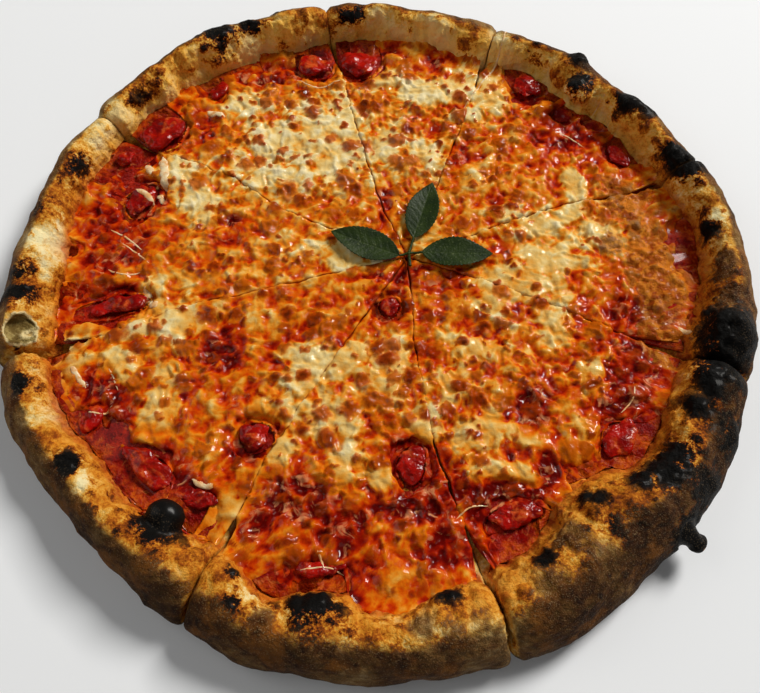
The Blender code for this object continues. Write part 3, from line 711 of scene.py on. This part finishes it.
# Places where the sauce shows through: x, y, half length, half width, turn in degrees.
SAUCY = [
    (-117, 20, 20, 15, 0), (-111, 48, 13, 12, 0), (-105, 68, 6, 6, 0), (-58, 118, 36, 6, 8),
    (-84, 86, 6, 12, 0), (-68, 26, 9, 10, 0), (0, 134, 12, 8, 0), (28, 124, 9, 4, 0), (88, 78, 16, 8, 0),
    (94, 88, 10, 8, 45), (76, 110, 8, 8, 0), (38, 68, 5, 8, 0), (3, 42, 4, 16, 0), (15, 3, 26, 5, 0),
    (-118, -10, 20, 10, 0), (-66, -32, 9, 13, 20), (-115, -45, 7, 8, 0), (-128, -45, 5, 10, 20),
    (-115, -62, 8, 8, 0), (-105, -58, 6, 10, 0), (-49, -69, 9, 11, 0), (-82, -86, 22, 9, -30),
    (-30, -95, 18, 10, 0), (-14, -106, 10, 9, 0), (-45, -98, 8, 8, 0), (15, -79, 11, 8, 0),
    (24, -96, 9, 8, 0), (28, -113, 11, 8, 0), (8, -100, 10, 6, 0), (-22, -120, 20, 5, 0),
    (100, -60, 11, 17, 0), (108, -36, 9, 12, 0), (45, -97, 20, 9, 0), (50, -106, 16, 5, 10),
    (62, -88, 5, 12, -20), (114, -15, 14, 9, 0), (0, -11, 7, 5, 0), (60, -60, 7, 9, 0),
    (-121, 38, 13, 7, 65),
]
# Places near the rim where the cheese baked to a dry golden crust: the same five numbers.
CRISPED = [
    (119, 8, 9, 24, -5), (112, 40, 7, 14, 25), (116, -30, 6, 12, 10), (98, -82, 6, 14, -50),
    (72, -98, 12, 5, 10), (104, 18, 5, 5, 0), (36, 132, 12, 4, -15), (-36, 128, 12, 4, 12),
]


def flat_marks(places, marks):
    """How far inside the nearest oval mark each place lies, seen from above, as round_marks does."""
    depth = np.zeros(len(places))
    for x, y, length, width, turn in marks:
        along = np.array((math.cos(math.radians(turn)), math.sin(math.radians(turn))))
        aside = np.array((-along[1], along[0]))
        offset = places[:, :2] - (x, y)
        away = np.hypot(offset @ along / length, offset @ aside / width)
        depth = np.maximum(depth, 1 - away / 2)
    return depth


def wandering(recipe, geometry, reach):
    """The geometry with its cuts wandering sideways a little, as a hand-held wheel leaves them."""
    place = place_in_mm(recipe)
    drift = recipe.add("ShaderNodeTexNoise", None, {"Vector": place, "Scale": 1 / 9, "Detail": 2.0})
    drift = recipe.vector("SUBTRACT", drift.part("Color"), (0.5, 0.5, 0.5))
    drift = recipe.vector("MULTIPLY", drift, (reach * MM, reach * MM, 0.0))
    return moved(recipe, geometry, drift)


# Height at which the rim rises out of the topping.
RIM_FOOT = 8.0


def crept(recipe, geometry, rim):
    """The geometry with its outer edge run out over the sauce, and then a little way up the rim."""
    run = (recipe.noise(place_in_mm(recipe), 15, 2.0) - recipe.read("saucy") * 0.12).rise(0.16, 0.36)
    shape = keep_value(recipe, geometry, "run", run)
    run = recipe.read("run")
    to_rim, way = way_to_rim(recipe, rim, RIM_FOOT)
    shape = moved(recipe, shape, recipe.vector("SCALE", way, scale=to_rim.rise(21.0, 4.0) * run))
    to_rim = way_to_rim(recipe, rim, RIM_FOOT)[0]
    outward = round_the_rim(recipe, place_in_mm(recipe))[0]
    climb = to_rim.rise(7.0, 1.0) * run * 4.5 * MM
    shape = moved(recipe, shape, recipe.vector("SCALE", outward, scale=climb))
    return keep_value(recipe, shape, "to_rim", way_to_rim(recipe, rim, RIM_FOOT)[0])


# How far over a corner the search for the ground starts.
LOOK_FROM = 40.0


def ground_under(recipe, ground):
    """How high the ground is under or over each corner, in millimetres."""
    above = (0.0, 0.0, LOOK_FROM * MM)
    ray = {"Target Geometry": ground, "Ray Direction": (0.0, 0.0, -1.0), "Ray Length": 2 * LOOK_FROM * MM}
    ray["Source Position"] = recipe.vector("ADD", recipe.add("GeometryNodeInputPosition"), above)
    touched = recipe.add("GeometryNodeRaycast", None, ray).part("Hit Position")
    return recipe.axis("Z", touched) * (1 / MM)


def keep_edge(recipe, geometry):
    """Stores how far each corner is from the sheet's outer side, leaving its cuts out."""
    not_side = (facing_up(recipe).size() - 0.6).most(3.0 - recipe.read("gap"))
    rest = {"Geometry": geometry, "Selection": not_side}
    outer_side = recipe.add("GeometryNodeDeleteGeometry", {"domain": "FACE"}, rest)
    return keep_value(recipe, geometry, "edge", way_to(recipe, outer_side)[0])


def laid_on(recipe, geometry, crust_below):
    """The geometry with its thin outer edge laid on the crust, where it ends in a ragged line."""
    ground_height = ground_under(recipe, surface_of(recipe, crust_below))
    edge = recipe.read("edge")
    height = height_of(recipe)
    ragged = recipe.noise(place_in_mm(recipe), 5, 3.0, 0.6) - 0.5
    film = 0.7 + ragged * 5.0 - (ground_height - 8.0).most(0.0) * 0.3
    film = film * edge.rise(0.5, 3.0) - 0.8 * edge.rise(2.0, 0.5)
    top = facing_up(recipe).rise(0.1, 0.5)
    climbs = ground_height.rise(5.0, 7.5)
    raising = (ground_height + film - height) * climbs * (ground_height - height).rise(8.0, 6.0)
    raising = (raising + (5.4 - height).least(0.0) * edge.rise(4.0, 0.5) * (1 - climbs) * 0.8) * top
    sinking = (ground_height - 1.0 - height).least(0.0) * ground_height.rise(5.0, 6.5) * (1 - top)
    return lifted(recipe, geometry, raising + sinking)


def cheese_tree(finish):
    """Melts a slice's cheese: edges that ran, cuts that half closed again, folds, and blisters."""
    inputs = [("Neighbours", "NodeSocketObject"), ("Rim", "NodeSocketObject")]
    recipe, wires, ids = new_tree("melted_cheese", inputs)
    gap, across = way_to(recipe, surface_of(recipe, wires["Neighbours"]))
    shape = keep_value(recipe, wires["Geometry"], "gap", gap)
    place = place_in_mm(recipe)
    leftward = recipe.axis("X", place).rise(10.0, -20.0)
    healed = (recipe.noise(place, 20, 1.0).rise(0.42, 0.6) + leftward * 0.75).least(1.0)
    closing = gap.rise(4.0, 1.6) * (0.3 + 0.72 * healed) * 0.5
    shape = moved(recipe, shape, recipe.vector("SCALE", across, scale=closing))
    gap = recipe.read("gap")
    shape = eased(recipe, shape, 10, gap.rise(0.3, 4.0) * 0.85 + 0.04)
    shape = keep_edge(recipe, shape)
    shape = wandering(recipe, shape, 3.0)
    shape = crept(recipe, shape, wires["Rim"])
    shape = laid_on(recipe, shape, wires["Rim"])
    to_rim = recipe.read("to_rim")
    shape = eased(recipe, shape, 9, to_rim.rise(18.0, 10.0) * gap.rise(0.3, 3.0) * 0.9)

    place = place_in_mm(recipe)
    upward = facing_up(recipe)
    top = upward.rise(0.2, 0.8)
    creamy = recipe.read("creamy")
    saucy = recipe.read("saucy")
    crowd = recipe.noise(place, 17, 3.0).rise(0.38, 0.57) * (1 - creamy.rise(0.3, 0.7) * 0.3)
    large = {"spacing": 5.4, "smallest": 1.4, "largest": 4.2, "seed": 11}
    small = {"spacing": 3.4, "smallest": 0.6, "largest": 1.7, "seed": 57}
    large_depth, tone = spots_over(recipe, shape, top * (0.08 + 0.92 * crowd), **large)
    depth = large_depth.most(spots_over(recipe, shape, top * crowd * 0.6, **small)[0])
    shape = keep_value(recipe, shape, "blister", depth)
    shape = keep_value(recipe, shape, "tone", tone)

    strands = (recipe.noise(place, 16, 1.0, 0.5, 1.4) - 0.5).size().rise(0.11, 0.02)
    lumps = recipe.noise(place, 8, 1.5) - 0.5
    blobs = recipe.noise(place, 5, 1.0, 0.5, 0.6) - 0.5
    curds = recipe.noise(place, 3.0, 1.0) - 0.5
    dome = depth.rise(0.36, 0.78) - 0.4 * depth.rise(0.75, 1.0)
    lip = gap.rise(0.4, 1.2) * gap.rise(3.2, 1.4)
    smooth = 1 - creamy.rise(0.3, 0.6) * 0.45
    relief = (lumps * 4.4 + blobs * 3.2 + curds * 0.8) * smooth + strands * 0.7 + dome + lip * 0.4
    relief = relief + (creamy + blobs * 0.8).rise(0.35, 0.65) * 0.8 - saucy.rise(0.4, 0.7) * 0.9
    # lift also sets colour: raised places are painted creamier as thicker cheese, and the lip along the cuts
    # paler as a painted highlight.
    shape = keep_value(recipe, shape, "lift", lumps * 1.6 + strands * 0.4 + blobs * 1.8 + lip * 0.4)
    inner = to_rim.rise(2.0, 9.0)
    sides = upward.size().rise(0.8, 0.3) * gap.rise(2.0, 4.0) * 0.9 * inner
    relief = relief * (0.3 + 0.7 * inner) - recipe.read("edge").rise(3.2, 0.0) * 1.3
    shape = raised(recipe, shape, relief * top * gap.rise(0.1, 1.6) + sides)
    under_sprig = recipe.vector("DISTANCE", place_in_mm(recipe), SPRIG_MIDDLE).part("Value").rise(46.0, 38.0)
    shape = lifted(recipe, shape, (8.9 - height_of(recipe)).least(0.0) * under_sprig * 0.75)
    return end_tree(recipe, shape, finish), ids


def cheese_finish():
    """Melted mozzarella: cream where it is thick, then gold, orange and red as oil and sauce show
    through, with blisters that browned. The right side is darker as painted shade, the lip along the
    cuts paler as a painted highlight, and the cut walls dark red in part as painted shade."""
    finish, recipe = new_finish("melted_mozzarella")
    place = object_place(recipe)
    clouds = recipe.noise(place, 11, 2.0, 0.5, 0.4) - 0.5
    mottle = recipe.noise(place, 6, 2.0, 0.5, 0.6) - 0.5
    curds = recipe.noise(place, 2.4, 2.0, 0.5) - 0.5
    grain = recipe.noise(place, 0.7, 2.0, 0.6) - 0.5
    lift = noted(recipe, "lift")
    blister = noted(recipe, "blister") + mottle * 0.3 + curds * 0.4 + grain * 0.1
    tone = noted(recipe, "tone")

    front = recipe.axis("Y", place).rise(30.0, -60.0)
    creamy = (noted(recipe, "creamy") + clouds * 0.9 + mottle * 0.9).rise(0.26, 0.62)
    saucy = (noted(recipe, "saucy") + clouds * 0.9 + mottle * 0.6).rise(0.32, 0.68)
    # Painted shade: the right side is darker and oranger.
    painted_right_shade = recipe.axis("X", place).rise(-20.0, 80.0)
    thickness_and_light = 0.46 - front * 0.11 - painted_right_shade * 0.07 + creamy * 0.38 - saucy * 0.34
    browning = noted(recipe, "to_rim").rise(9.0, 2.0)
    thickness_and_light = thickness_and_light + (0.46 - thickness_and_light) * browning * 0.6
    # Raised places from lift are painted paler; the lip's share of this is a painted highlight along the cut
    # edges.
    uneven = (mottle * 0.9 + curds * 0.3 + lift * 0.35) * (1 - creamy * 0.5)
    thickness_and_light = thickness_and_light + clouds * 0.4 + uneven + grain * 0.05
    stops = [
        (0.0, 92, 4, 1), (0.12, 140, 16, 1), (0.27, 188, 50, 1), (0.4, 208, 88, 4),
        (0.52, 220, 122, 18), (0.66, 227, 154, 52), (0.8, 230, 186, 102), (0.9, 232, 206, 140),
        (1.0, 238, 222, 174),
    ]
    colour = recipe.ramp(thickness_and_light, stops)

    threads = recipe.noise(place, 5, 3.0, 0.6, 0.9).rise(0.52, 0.66) * clouds.rise(-0.12, 0.03)
    colour = recipe.mix(threads * thickness_and_light.rise(0.45, 0.2) * 0.7, colour, paint(222, 150, 100))
    ring = blister.rise(0.2, 0.5)
    colour = recipe.mix(ring * 0.85 * thickness_and_light.rise(0.2, 0.45), colour, paint(206, 110, 10))
    browned = blister.rise(0.36, 0.72) * (0.5 + 0.5 * tone)
    colour = recipe.mix(browned, colour, paint(154, 50, 2))
    scorched = blister.rise(0.6, 1.0) * tone.rise(0.3, 1.0)
    colour = recipe.mix(scorched * 0.8, colour, paint(72, 20, 2))

    toasted = (noted(recipe, "toasted") + clouds * 0.5 + mottle * 0.8).rise(0.3, 0.6)
    toast = recipe.mix((mottle + curds * 0.7).rise(-0.12, 0.12), paint(206, 128, 36), paint(140, 64, 12))
    toast = recipe.mix(grain.rise(0.1, 0.2) * 0.6, toast, paint(92, 36, 6))
    colour = recipe.mix(toasted * 0.8, colour, toast)

    relief = grain * 0.1 + curds * 0.35 + toasted * grain * 0.4
    # The cut walls are painted dark red: partly sauce in the cuts, partly painted shade there.
    wall = noted(recipe, "gap").rise(1.3, 0.5)
    colour = recipe.mix(wall * 0.7, colour, paint(150, 48, 6))
    wet = recipe.noise(place, 9, 2.0, 0.5, 0.5).rise(0.48, 0.6) * (1 - toasted)
    wet = wet * noted(recipe, "edge").rise(1.0, 4.0)
    coat = {"Coat_Weight": 0.06 + wet * 0.38, "Coat_Roughness": 0.07}
    coat.update({"Specular_IOR_Level": 0.04, "IOR": 1.4})
    close_finish(recipe, relief, 1.0, Base_Color=colour, Roughness=0.34 + grain * 0.1, **coat)
    return finish


TOMATO_NODES = sorted(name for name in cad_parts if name.startswith("tomato_"))
# How far the juice of a tomato piece runs into the cheese around it.
JUICE_REACH = 4.0
juicy = []
for node in TOMATO_NODES:
    low, high = np.array(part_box(node))[:, :2] / MM
    juicy.append((*(low + high) / 2, *(high - low) / 2 + JUICE_REACH, 0))

cheese_marks = {"creamy": CREAMY, "saucy": SAUCY + juicy, "toasted": CRISPED}
melt_cheese = cheese_tree(cheese_finish())
cheese_sheets = []
for number in SLICES:
    sheet = fine_skin("cheese_slice_%d" % number, "cheese_%d" % number, CHEESE_GRAIN)
    skin = corners(sheet)
    for name, marks in cheese_marks.items():
        note(sheet, name, flat_marks(skin, marks))
    run_beside(sheet, melt_cheese, "cheese", number, Rim=crust_slices[number])
    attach(sheet, "root")
    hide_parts("cheese_%d" % number)
    cheese_sheets.append(sheet)


# Tomato pieces. Peeled tomatoes crushed by hand: soft wet lumps that lie on the sauce or half sunk in
# the cheese, ridged where the flesh tore.

def tomato_tree(finish):
    """Rounds a lump of tomato and gives it the folds and torn ridges of the flesh."""
    recipe, wires, ids = new_tree("torn_tomato", [])
    round_shape = recipe.add("GeometryNodeSubdivisionSurface", None, {"Mesh": wires["Geometry"], "Level": 3})
    place = place_in_mm(recipe)
    folds = (recipe.noise(place, 9, 1.0, 0.5, 0.8) - 0.5).size().rise(0.12, 0.0)
    lumps = recipe.noise(place, 8, 1.0) - 0.5
    pulp = recipe.noise(place, 3.2, 2.0) - 0.5
    shape = raised(recipe, round_shape, lumps * 6.5 + pulp * 1.4 - folds * 0.5)
    shape = lifted(recipe, shape, (8.0 - height_of(recipe)).least(0.0) * 0.35)
    shape = keep_value(recipe, shape, "fold", folds)
    return end_tree(recipe, shape, finish), ids


def tomato_finish():
    """Cooked tomato flesh: deep red, brighter on its folds, filmed with orange oil here and there."""
    finish, recipe = new_finish("crushed_tomato")
    place = object_place(recipe)
    clouds = recipe.noise(place, 6, 3.0)
    film = recipe.noise(place, 7, 3.0, 0.6, 0.6)
    pulp = recipe.noise(place, 1.3, 2.0)
    fold = noted(recipe, "fold")
    colour = recipe.mix(clouds.rise(0.35, 0.65), paint(112, 3, 2), paint(168, 12, 4))
    colour = recipe.mix(fold * 0.25, colour, paint(190, 34, 14))
    oil = recipe.mix(pulp.rise(0.4, 0.6), paint(216, 96, 40), paint(196, 60, 14))
    colour = recipe.mix(film.rise(0.52, 0.68) * 0.75, colour, oil)
    coat = {"Coat_Weight": 0.3, "Coat_Roughness": 0.12, "Specular_IOR_Level": 0.1, "IOR": 1.4}
    close_finish(recipe, pulp, 0.5, Base_Color=colour, Roughness=0.3, **coat)
    return finish


tear_tomato = tomato_tree(tomato_finish())
tomato_lumps = []
for node in TOMATO_NODES:
    lump = joined_copy("torn_" + node, [node])
    run_tree(lump, tear_tomato)
    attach(lump, "root")
    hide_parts(node)
    tomato_lumps.append(lump)


# Loose cheese. Strands that stretched and fell back when the slices were moved, and a few shreds that
# stayed whole. They lie on whatever is under them: cheese, tomato or crust.

# Each run of cheese: its width in millimetres and the places it passes over, x and y.
STRANDS = [
    (0.9, [(42, 97), (51, 112), (60, 125), (65, 139), (69, 150)]),
    (0.35, [(104, 92), (110, 98), (117, 102)]),
    (0.8, [(-42, 118), (-30, 112), (-16, 116)]),
    (0.7, [(84, 84), (92, 80), (99, 73)]),
    (0.8, [(-122, 29), (-113, 24), (-105, 17)]),
    (0.7, [(-116, 22), (-108, 16), (-101, 10)]),
    (0.8, [(-120, 8), (-112, 4), (-104, 6)]),
    (0.7, [(-112, -40), (-109, -45), (-107, -50)]),
    (0.8, [(-124, -58), (-112, -60), (-108, -56)]),
    (0.7, [(-31, -122), (-20, -121), (-13, -124)]),
    (0.8, [(-24, -114), (-22, -119), (-21, -122)]),
    (0.6, [(96, -62), (102, -56), (104, -48)]),
    (0.7, [(28, -104), (34, -99), (43, -98)]),
]
SHREDS = [
    (4.5, [(-102, 70), (-100, 60), (-98, 50)]),
    (3.6, [(-111, 67), (-108, 63), (-105, 57)]),
    (3.2, [(-103, 54), (-102, 49), (-99, 43)]),
    (2.6, [(-113, 50), (-108, 48), (-103, 42)]),
    (3.8, [(-102, -1), (-99, -8), (-94, -13)]),
    (2.3, [(-128, -38), (-124, -44), (-120, -49)]),
    (2.6, [(-73, -87), (-68, -90), (-63, -90)]),
    (3.4, [(-84, 98), (-80, 95), (-74, 93)]),
    (2.6, [(127, -22), (128, -25), (131, -27)]),
]


def strand_tree(finish):
    """Lays soft round strands along their paths, thinning towards both ends."""
    inputs = [("Ground", "NodeSocketCollection"), ("Flatness", "NodeSocketFloat")]
    recipe, wires, ids = new_tree("laid_strands", inputs)
    path = recipe.add("GeometryNodeMeshToCurve", None, {"Mesh": wires["Geometry"]})
    path = recipe.add("GeometryNodeCurveSplineType", {"spline_type": "CATMULL_ROM"}, {"Curve": path})
    path = recipe.add("GeometryNodeResampleCurve", {"mode": "LENGTH"}, {"Curve": path, "Length": 0.5 * MM})
    pieces = recipe.add("GeometryNodeCollectionInfo", None, {"Collection": wires["Ground"]})
    ground = recipe.add("GeometryNodeRealizeInstances", None, {"Geometry": pieces})
    width = recipe.read("width")
    sunk = ground_under(recipe, ground) - width * wires["Flatness"] * 0.12
    path = lifted(recipe, path, sunk - height_of(recipe))
    path = eased(recipe, path, 3, 1.0)
    path = recipe.add("GeometryNodeSetCurveNormal", {"mode": "Z_UP"}, {"Curve": path})
    along = recipe.add("GeometryNodeSplineParameter")
    ends = along.rise(0.0, 0.2) * along.rise(1.0, 0.8)
    thick = width * (0.3 + 0.7 * ends) * (0.4 + recipe.noise(place_in_mm(recipe), 3, 2.0) * 1.2)
    ring = recipe.add("GeometryNodeCurvePrimitiveCircle", None, {"Resolution": 10, "Radius": 0.5 * MM})
    oval = recipe.add("ShaderNodeCombineXYZ", None, {"X": 1.0, "Y": wires["Flatness"], "Z": 1.0})
    ring = recipe.add("GeometryNodeTransform", None, {"Geometry": ring, "Scale": oval})
    tube = {"Curve": path, "Profile Curve": ring, "Scale": thick, "Fill Caps": True}
    strand = recipe.add("GeometryNodeCurveToMesh", None, tube)
    strand = raised(recipe, strand, (recipe.noise(place_in_mm(recipe), 2.4, 2.0) - 0.5) * width * ends)
    return end_tree(recipe, strand, finish), ids


def strand_finish():
    """Stretched mozzarella: ivory, a little golden, and wet."""
    finish, recipe = new_finish("stretched_mozzarella")
    place = object_place(recipe)
    clouds = recipe.noise(place, 3, 2.0)
    grain = recipe.noise(place, 0.8, 2.0)
    colour = recipe.mix(clouds.rise(0.35, 0.65), paint(236, 216, 174), paint(224, 168, 108))
    coat = {"Coat_Weight": 0.2, "Coat_Roughness": 0.1, "Specular_IOR_Level": 0.15, "IOR": 1.4}
    close_finish(recipe, grain, 0.2, Base_Color=colour, Roughness=0.4, **coat)
    return finish


def open_paths(name, runs):
    """A new piece that holds each run as a chain of edges, with its width on every corner."""
    spots, edges, widths = [], [], []
    for width, places in runs:
        edges += [(len(spots) + i, len(spots) + i + 1) for i in range(len(places) - 1)]
        spots += [(x * MM, y * MM, 0.01) for x, y in places]
        widths += [width] * len(places)
    mesh = bpy.data.meshes.new(name)
    mesh.from_pydata(spots, edges, [])
    piece = placed(name, mesh)
    note(piece, "width", widths)
    return piece


laid_down = bpy.data.collections.new("laid_down")
bpy.context.scene.collection.children.link(laid_down)
for piece in [*crust_slices.values(), *cheese_sheets, *tomato_lumps]:
    laid_down.objects.link(piece)
lay_strands = strand_tree(strand_finish())
for name, runs, flatness in (("cheese_strands", STRANDS, 0.6), ("cheese_shreds", SHREDS, 0.4)):
    loose_cheese = open_paths(name, runs)
    run_tree(loose_cheese, lay_strands, Ground=laid_down, Flatness=flatness)
    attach(loose_cheese, "root")
bpy.data.collections.remove(laid_down)


# Basil. One sprig of three dark leaves, laid on after baking. A leaf is thin and cupped along its
# midrib, with side veins that run forward to a finely toothed edge.

LEAF_ROWS = 72
LEAF_COLUMNS = 40
LEAF_THICKNESS = 0.45
LEAF_TEETH = 17
SIDE_VEINS = 9
STALK_STEPS = 12
STALK_SIDES = 10
# Each leaf: where its blade starts, its heading in degrees, length, width, lift of its tip.
BASIL = [
    ((9.0, 12.0, 10.6), 158, 32.5, 15.5, 1.2),
    ((15.5, 21.0, 10.8), 72, 30.5, 14.5, 1.6),
    ((19.0, 13.5, 10.7), -3, 31.0, 15.0, 1.0),
]
FORK = (13.2, 13.4, 10.6)


def leaf_blade(bm, vein_depth, start, heading, length, width, lift):
    """Adds the top and underside of one leaf, and notes how near each corner is to a vein."""
    forward = Vector((math.cos(math.radians(heading)), math.sin(math.radians(heading)), 0))
    sideways = Vector((-forward.y, forward.x, 0))
    sheets = []
    for side in (1, -1):
        rows = []
        for i in range(LEAF_ROWS + 1):
            along = i / LEAF_ROWS
            half_width = width / 2 * math.sin(math.pi * along**0.85) ** 0.8 if 0 < along < 1 else 0.15
            row = []
            for j in range(LEAF_COLUMNS + 1):
                across = 2 * j / LEAF_COLUMNS - 1
                teeth = 1 + 0.03 * math.cos(2 * math.pi * (along * LEAF_TEETH - 0.5)) * abs(across) ** 6
                vein_phase = (along - abs(across) * 0.16) * SIDE_VEINS
                side_vein = max(0.0, 1 - abs(vein_phase - round(vein_phase)) * SIDE_VEINS)
                midrib = max(0.0, 1 - abs(across) * half_width / 0.55)
                vein = max(midrib, side_vein * 0.55 * (1 - abs(across) ** 3))
                quilt = math.cos(2 * math.pi * (vein_phase - 0.5)) * (1 - abs(across) ** 2) * 0.04
                height = lift * along**2 + 1.5 * abs(across) ** 1.6 * math.sin(math.pi * along)
                height += 0.4 * math.sin(along * 9 + heading) * abs(across) + quilt - 0.12 * vein
                spot = Vector(start) + forward * length * along + sideways * half_width * across * teeth
                spot.z += height + side * LEAF_THICKNESS / 2 * (1 - abs(across) ** 8)
                corner = bm.verts.new(spot * MM)
                corner[vein_depth] = vein
                row.append(corner)
            rows.append(row)
        sheets.append(rows)
        for i in range(LEAF_ROWS):
            for j in range(LEAF_COLUMNS):
                loop = [rows[i][j], rows[i + 1][j], rows[i + 1][j + 1], rows[i][j + 1]]
                bm.faces.new(loop if side < 0 else loop[::-1])
    return sheets


def leaf_stalk(bm, vein_depth, first, last, radius):
    """Adds a thin round stalk that sags a little between two places."""
    rings = []
    direction = (Vector(last) - Vector(first)).normalized()
    aside = direction.cross(Vector((0, 0, 1))).normalized()
    above = aside.cross(direction)
    for i in range(STALK_STEPS + 1):
        share = i / STALK_STEPS
        middle = Vector(first).lerp(Vector(last), share)
        middle.z -= 0.5 * math.sin(math.pi * share)
        ring = []
        for k in range(STALK_SIDES):
            angle = 2 * math.pi * k / STALK_SIDES
            spot = middle + (aside * math.cos(angle) + above * math.sin(angle)) * radius
            corner = bm.verts.new(spot * MM)
            corner[vein_depth] = 1.0
            ring.append(corner)
        rings.append(ring)
    for near, far in zip(rings, rings[1:]):
        for k in range(STALK_SIDES):
            bm.faces.new([near[k], near[k - 1], far[k - 1], far[k]])
    bm.faces.new(rings[0])
    bm.faces.new(rings[-1][::-1])


def basil_finish():
    """Satin dark green, paler on the veins, with a few paler freckles."""
    finish, recipe = new_finish("basil_leaf")
    place = object_place(recipe)
    clouds = recipe.noise(place, 6, 2.0)
    freckles = recipe.noise(place, 0.9, 2.0)
    vein = noted(recipe, "vein")
    colour = recipe.mix(clouds.rise(0.3, 0.7), paint(22, 38, 5), paint(38, 54, 10))
    colour = recipe.mix(vein * 0.2, colour, paint(70, 86, 34))
    colour = recipe.mix(freckles.rise(0.64, 0.72) * 0.4, colour, paint(116, 124, 80))
    close_finish(recipe, freckles, 0.25, Base_Color=colour, Roughness=0.5, IOR=1.45, Specular_IOR_Level=0.22)
    return finish


leaves = bmesh.new()
vein_depth = leaves.verts.layers.float.new("vein")
for start, heading, length, width, lift in BASIL:
    leaf_blade(leaves, vein_depth, start, heading, length, width, lift)
    leaf_stalk(leaves, vein_depth, FORK, start, 0.55)
leaf_stalk(leaves, vein_depth, FORK, (FORK[0] + 0.5, FORK[1] - 6, 9.2), 0.7)
bmesh.ops.remove_doubles(leaves, verts=leaves.verts, dist=0.02 * MM)
basil_mesh = bpy.data.meshes.new("basil_leaves")
leaves.to_mesh(basil_mesh)
leaves.free()
basil_mesh.shade_smooth()
basil_mesh.materials.append(basil_finish())
basil = placed("basil_leaves", basil_mesh)
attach(basil, "root")
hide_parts("basil_sprig")


# Stage: a pale floor, soft light from behind as from a window, and a weak fill from the front.

FLOOR_SIDE = 4.0
FLOOR_COLOUR = (0.9, 0.93, 0.97, 1.0)
WARM_LIGHT = (1.0, 0.965, 0.91)
SKY_STRENGTH = 0.07
VIEW_FROM = Vector((-1.0, -167.3, 295.4)) * MM
VIEW_AT = Vector((0.17, -27.3, 0.0)) * MM
# Millimetres of lens and of film: as much is seen across as the view is long.
LENS = 36.0

floor_mesh = bpy.data.meshes.new("floor")
half = FLOOR_SIDE / 2
floor_mesh.from_pydata(
    [(-half, -half, 0), (half, -half, 0), (half, half, 0), (-half, half, 0)], [], [(0, 1, 2, 3)]
)
floor = placed("floor", floor_mesh)
floor_finish, floor_recipe = new_finish("pale_floor")
close_finish(floor_recipe, 0.0, 0.0, Base_Color=FLOOR_COLOUR, Roughness=0.9)
floor_mesh.materials.append(floor_finish)

LAMPS = [
    # name, place, side, power
    ("window", (1.65, 1.5, 1.8), 0.9, 92.0),
    ("left_fill", (-0.9, 0.2, 0.7), 0.9, 2.6),
    ("front_fill", (0.1, -1.0, 0.7), 0.9, 1.2),
]
for name, lamp_place, side, power in LAMPS:
    lamp_data = bpy.data.lights.new(name, "AREA")
    lamp_data.size = side
    lamp_data.energy = power
    lamp_data.color = WARM_LIGHT
    lamp = placed(name, lamp_data)
    lamp.location = lamp_place
    lamp.rotation_euler = (-Vector(lamp_place)).to_track_quat("-Z", "Y").to_euler()

sky = bpy.data.worlds.new("soft_sky")
sky.use_nodes = True
sky.node_tree.nodes["Background"].inputs["Color"].default_value = (1.0, 1.0, 1.0, 1.0)
sky.node_tree.nodes["Background"].inputs["Strength"].default_value = SKY_STRENGTH
bpy.context.scene.world = sky
bpy.context.scene.view_settings.view_transform = "Standard"

lens = bpy.data.cameras.new("view")
lens.lens = LENS
lens.sensor_width = LENS
view = placed("view", lens)
view.location = VIEW_FROM
view.rotation_euler = (VIEW_AT - VIEW_FROM).to_track_quat("-Z", "Y").to_euler()
bpy.context.scene.camera = view
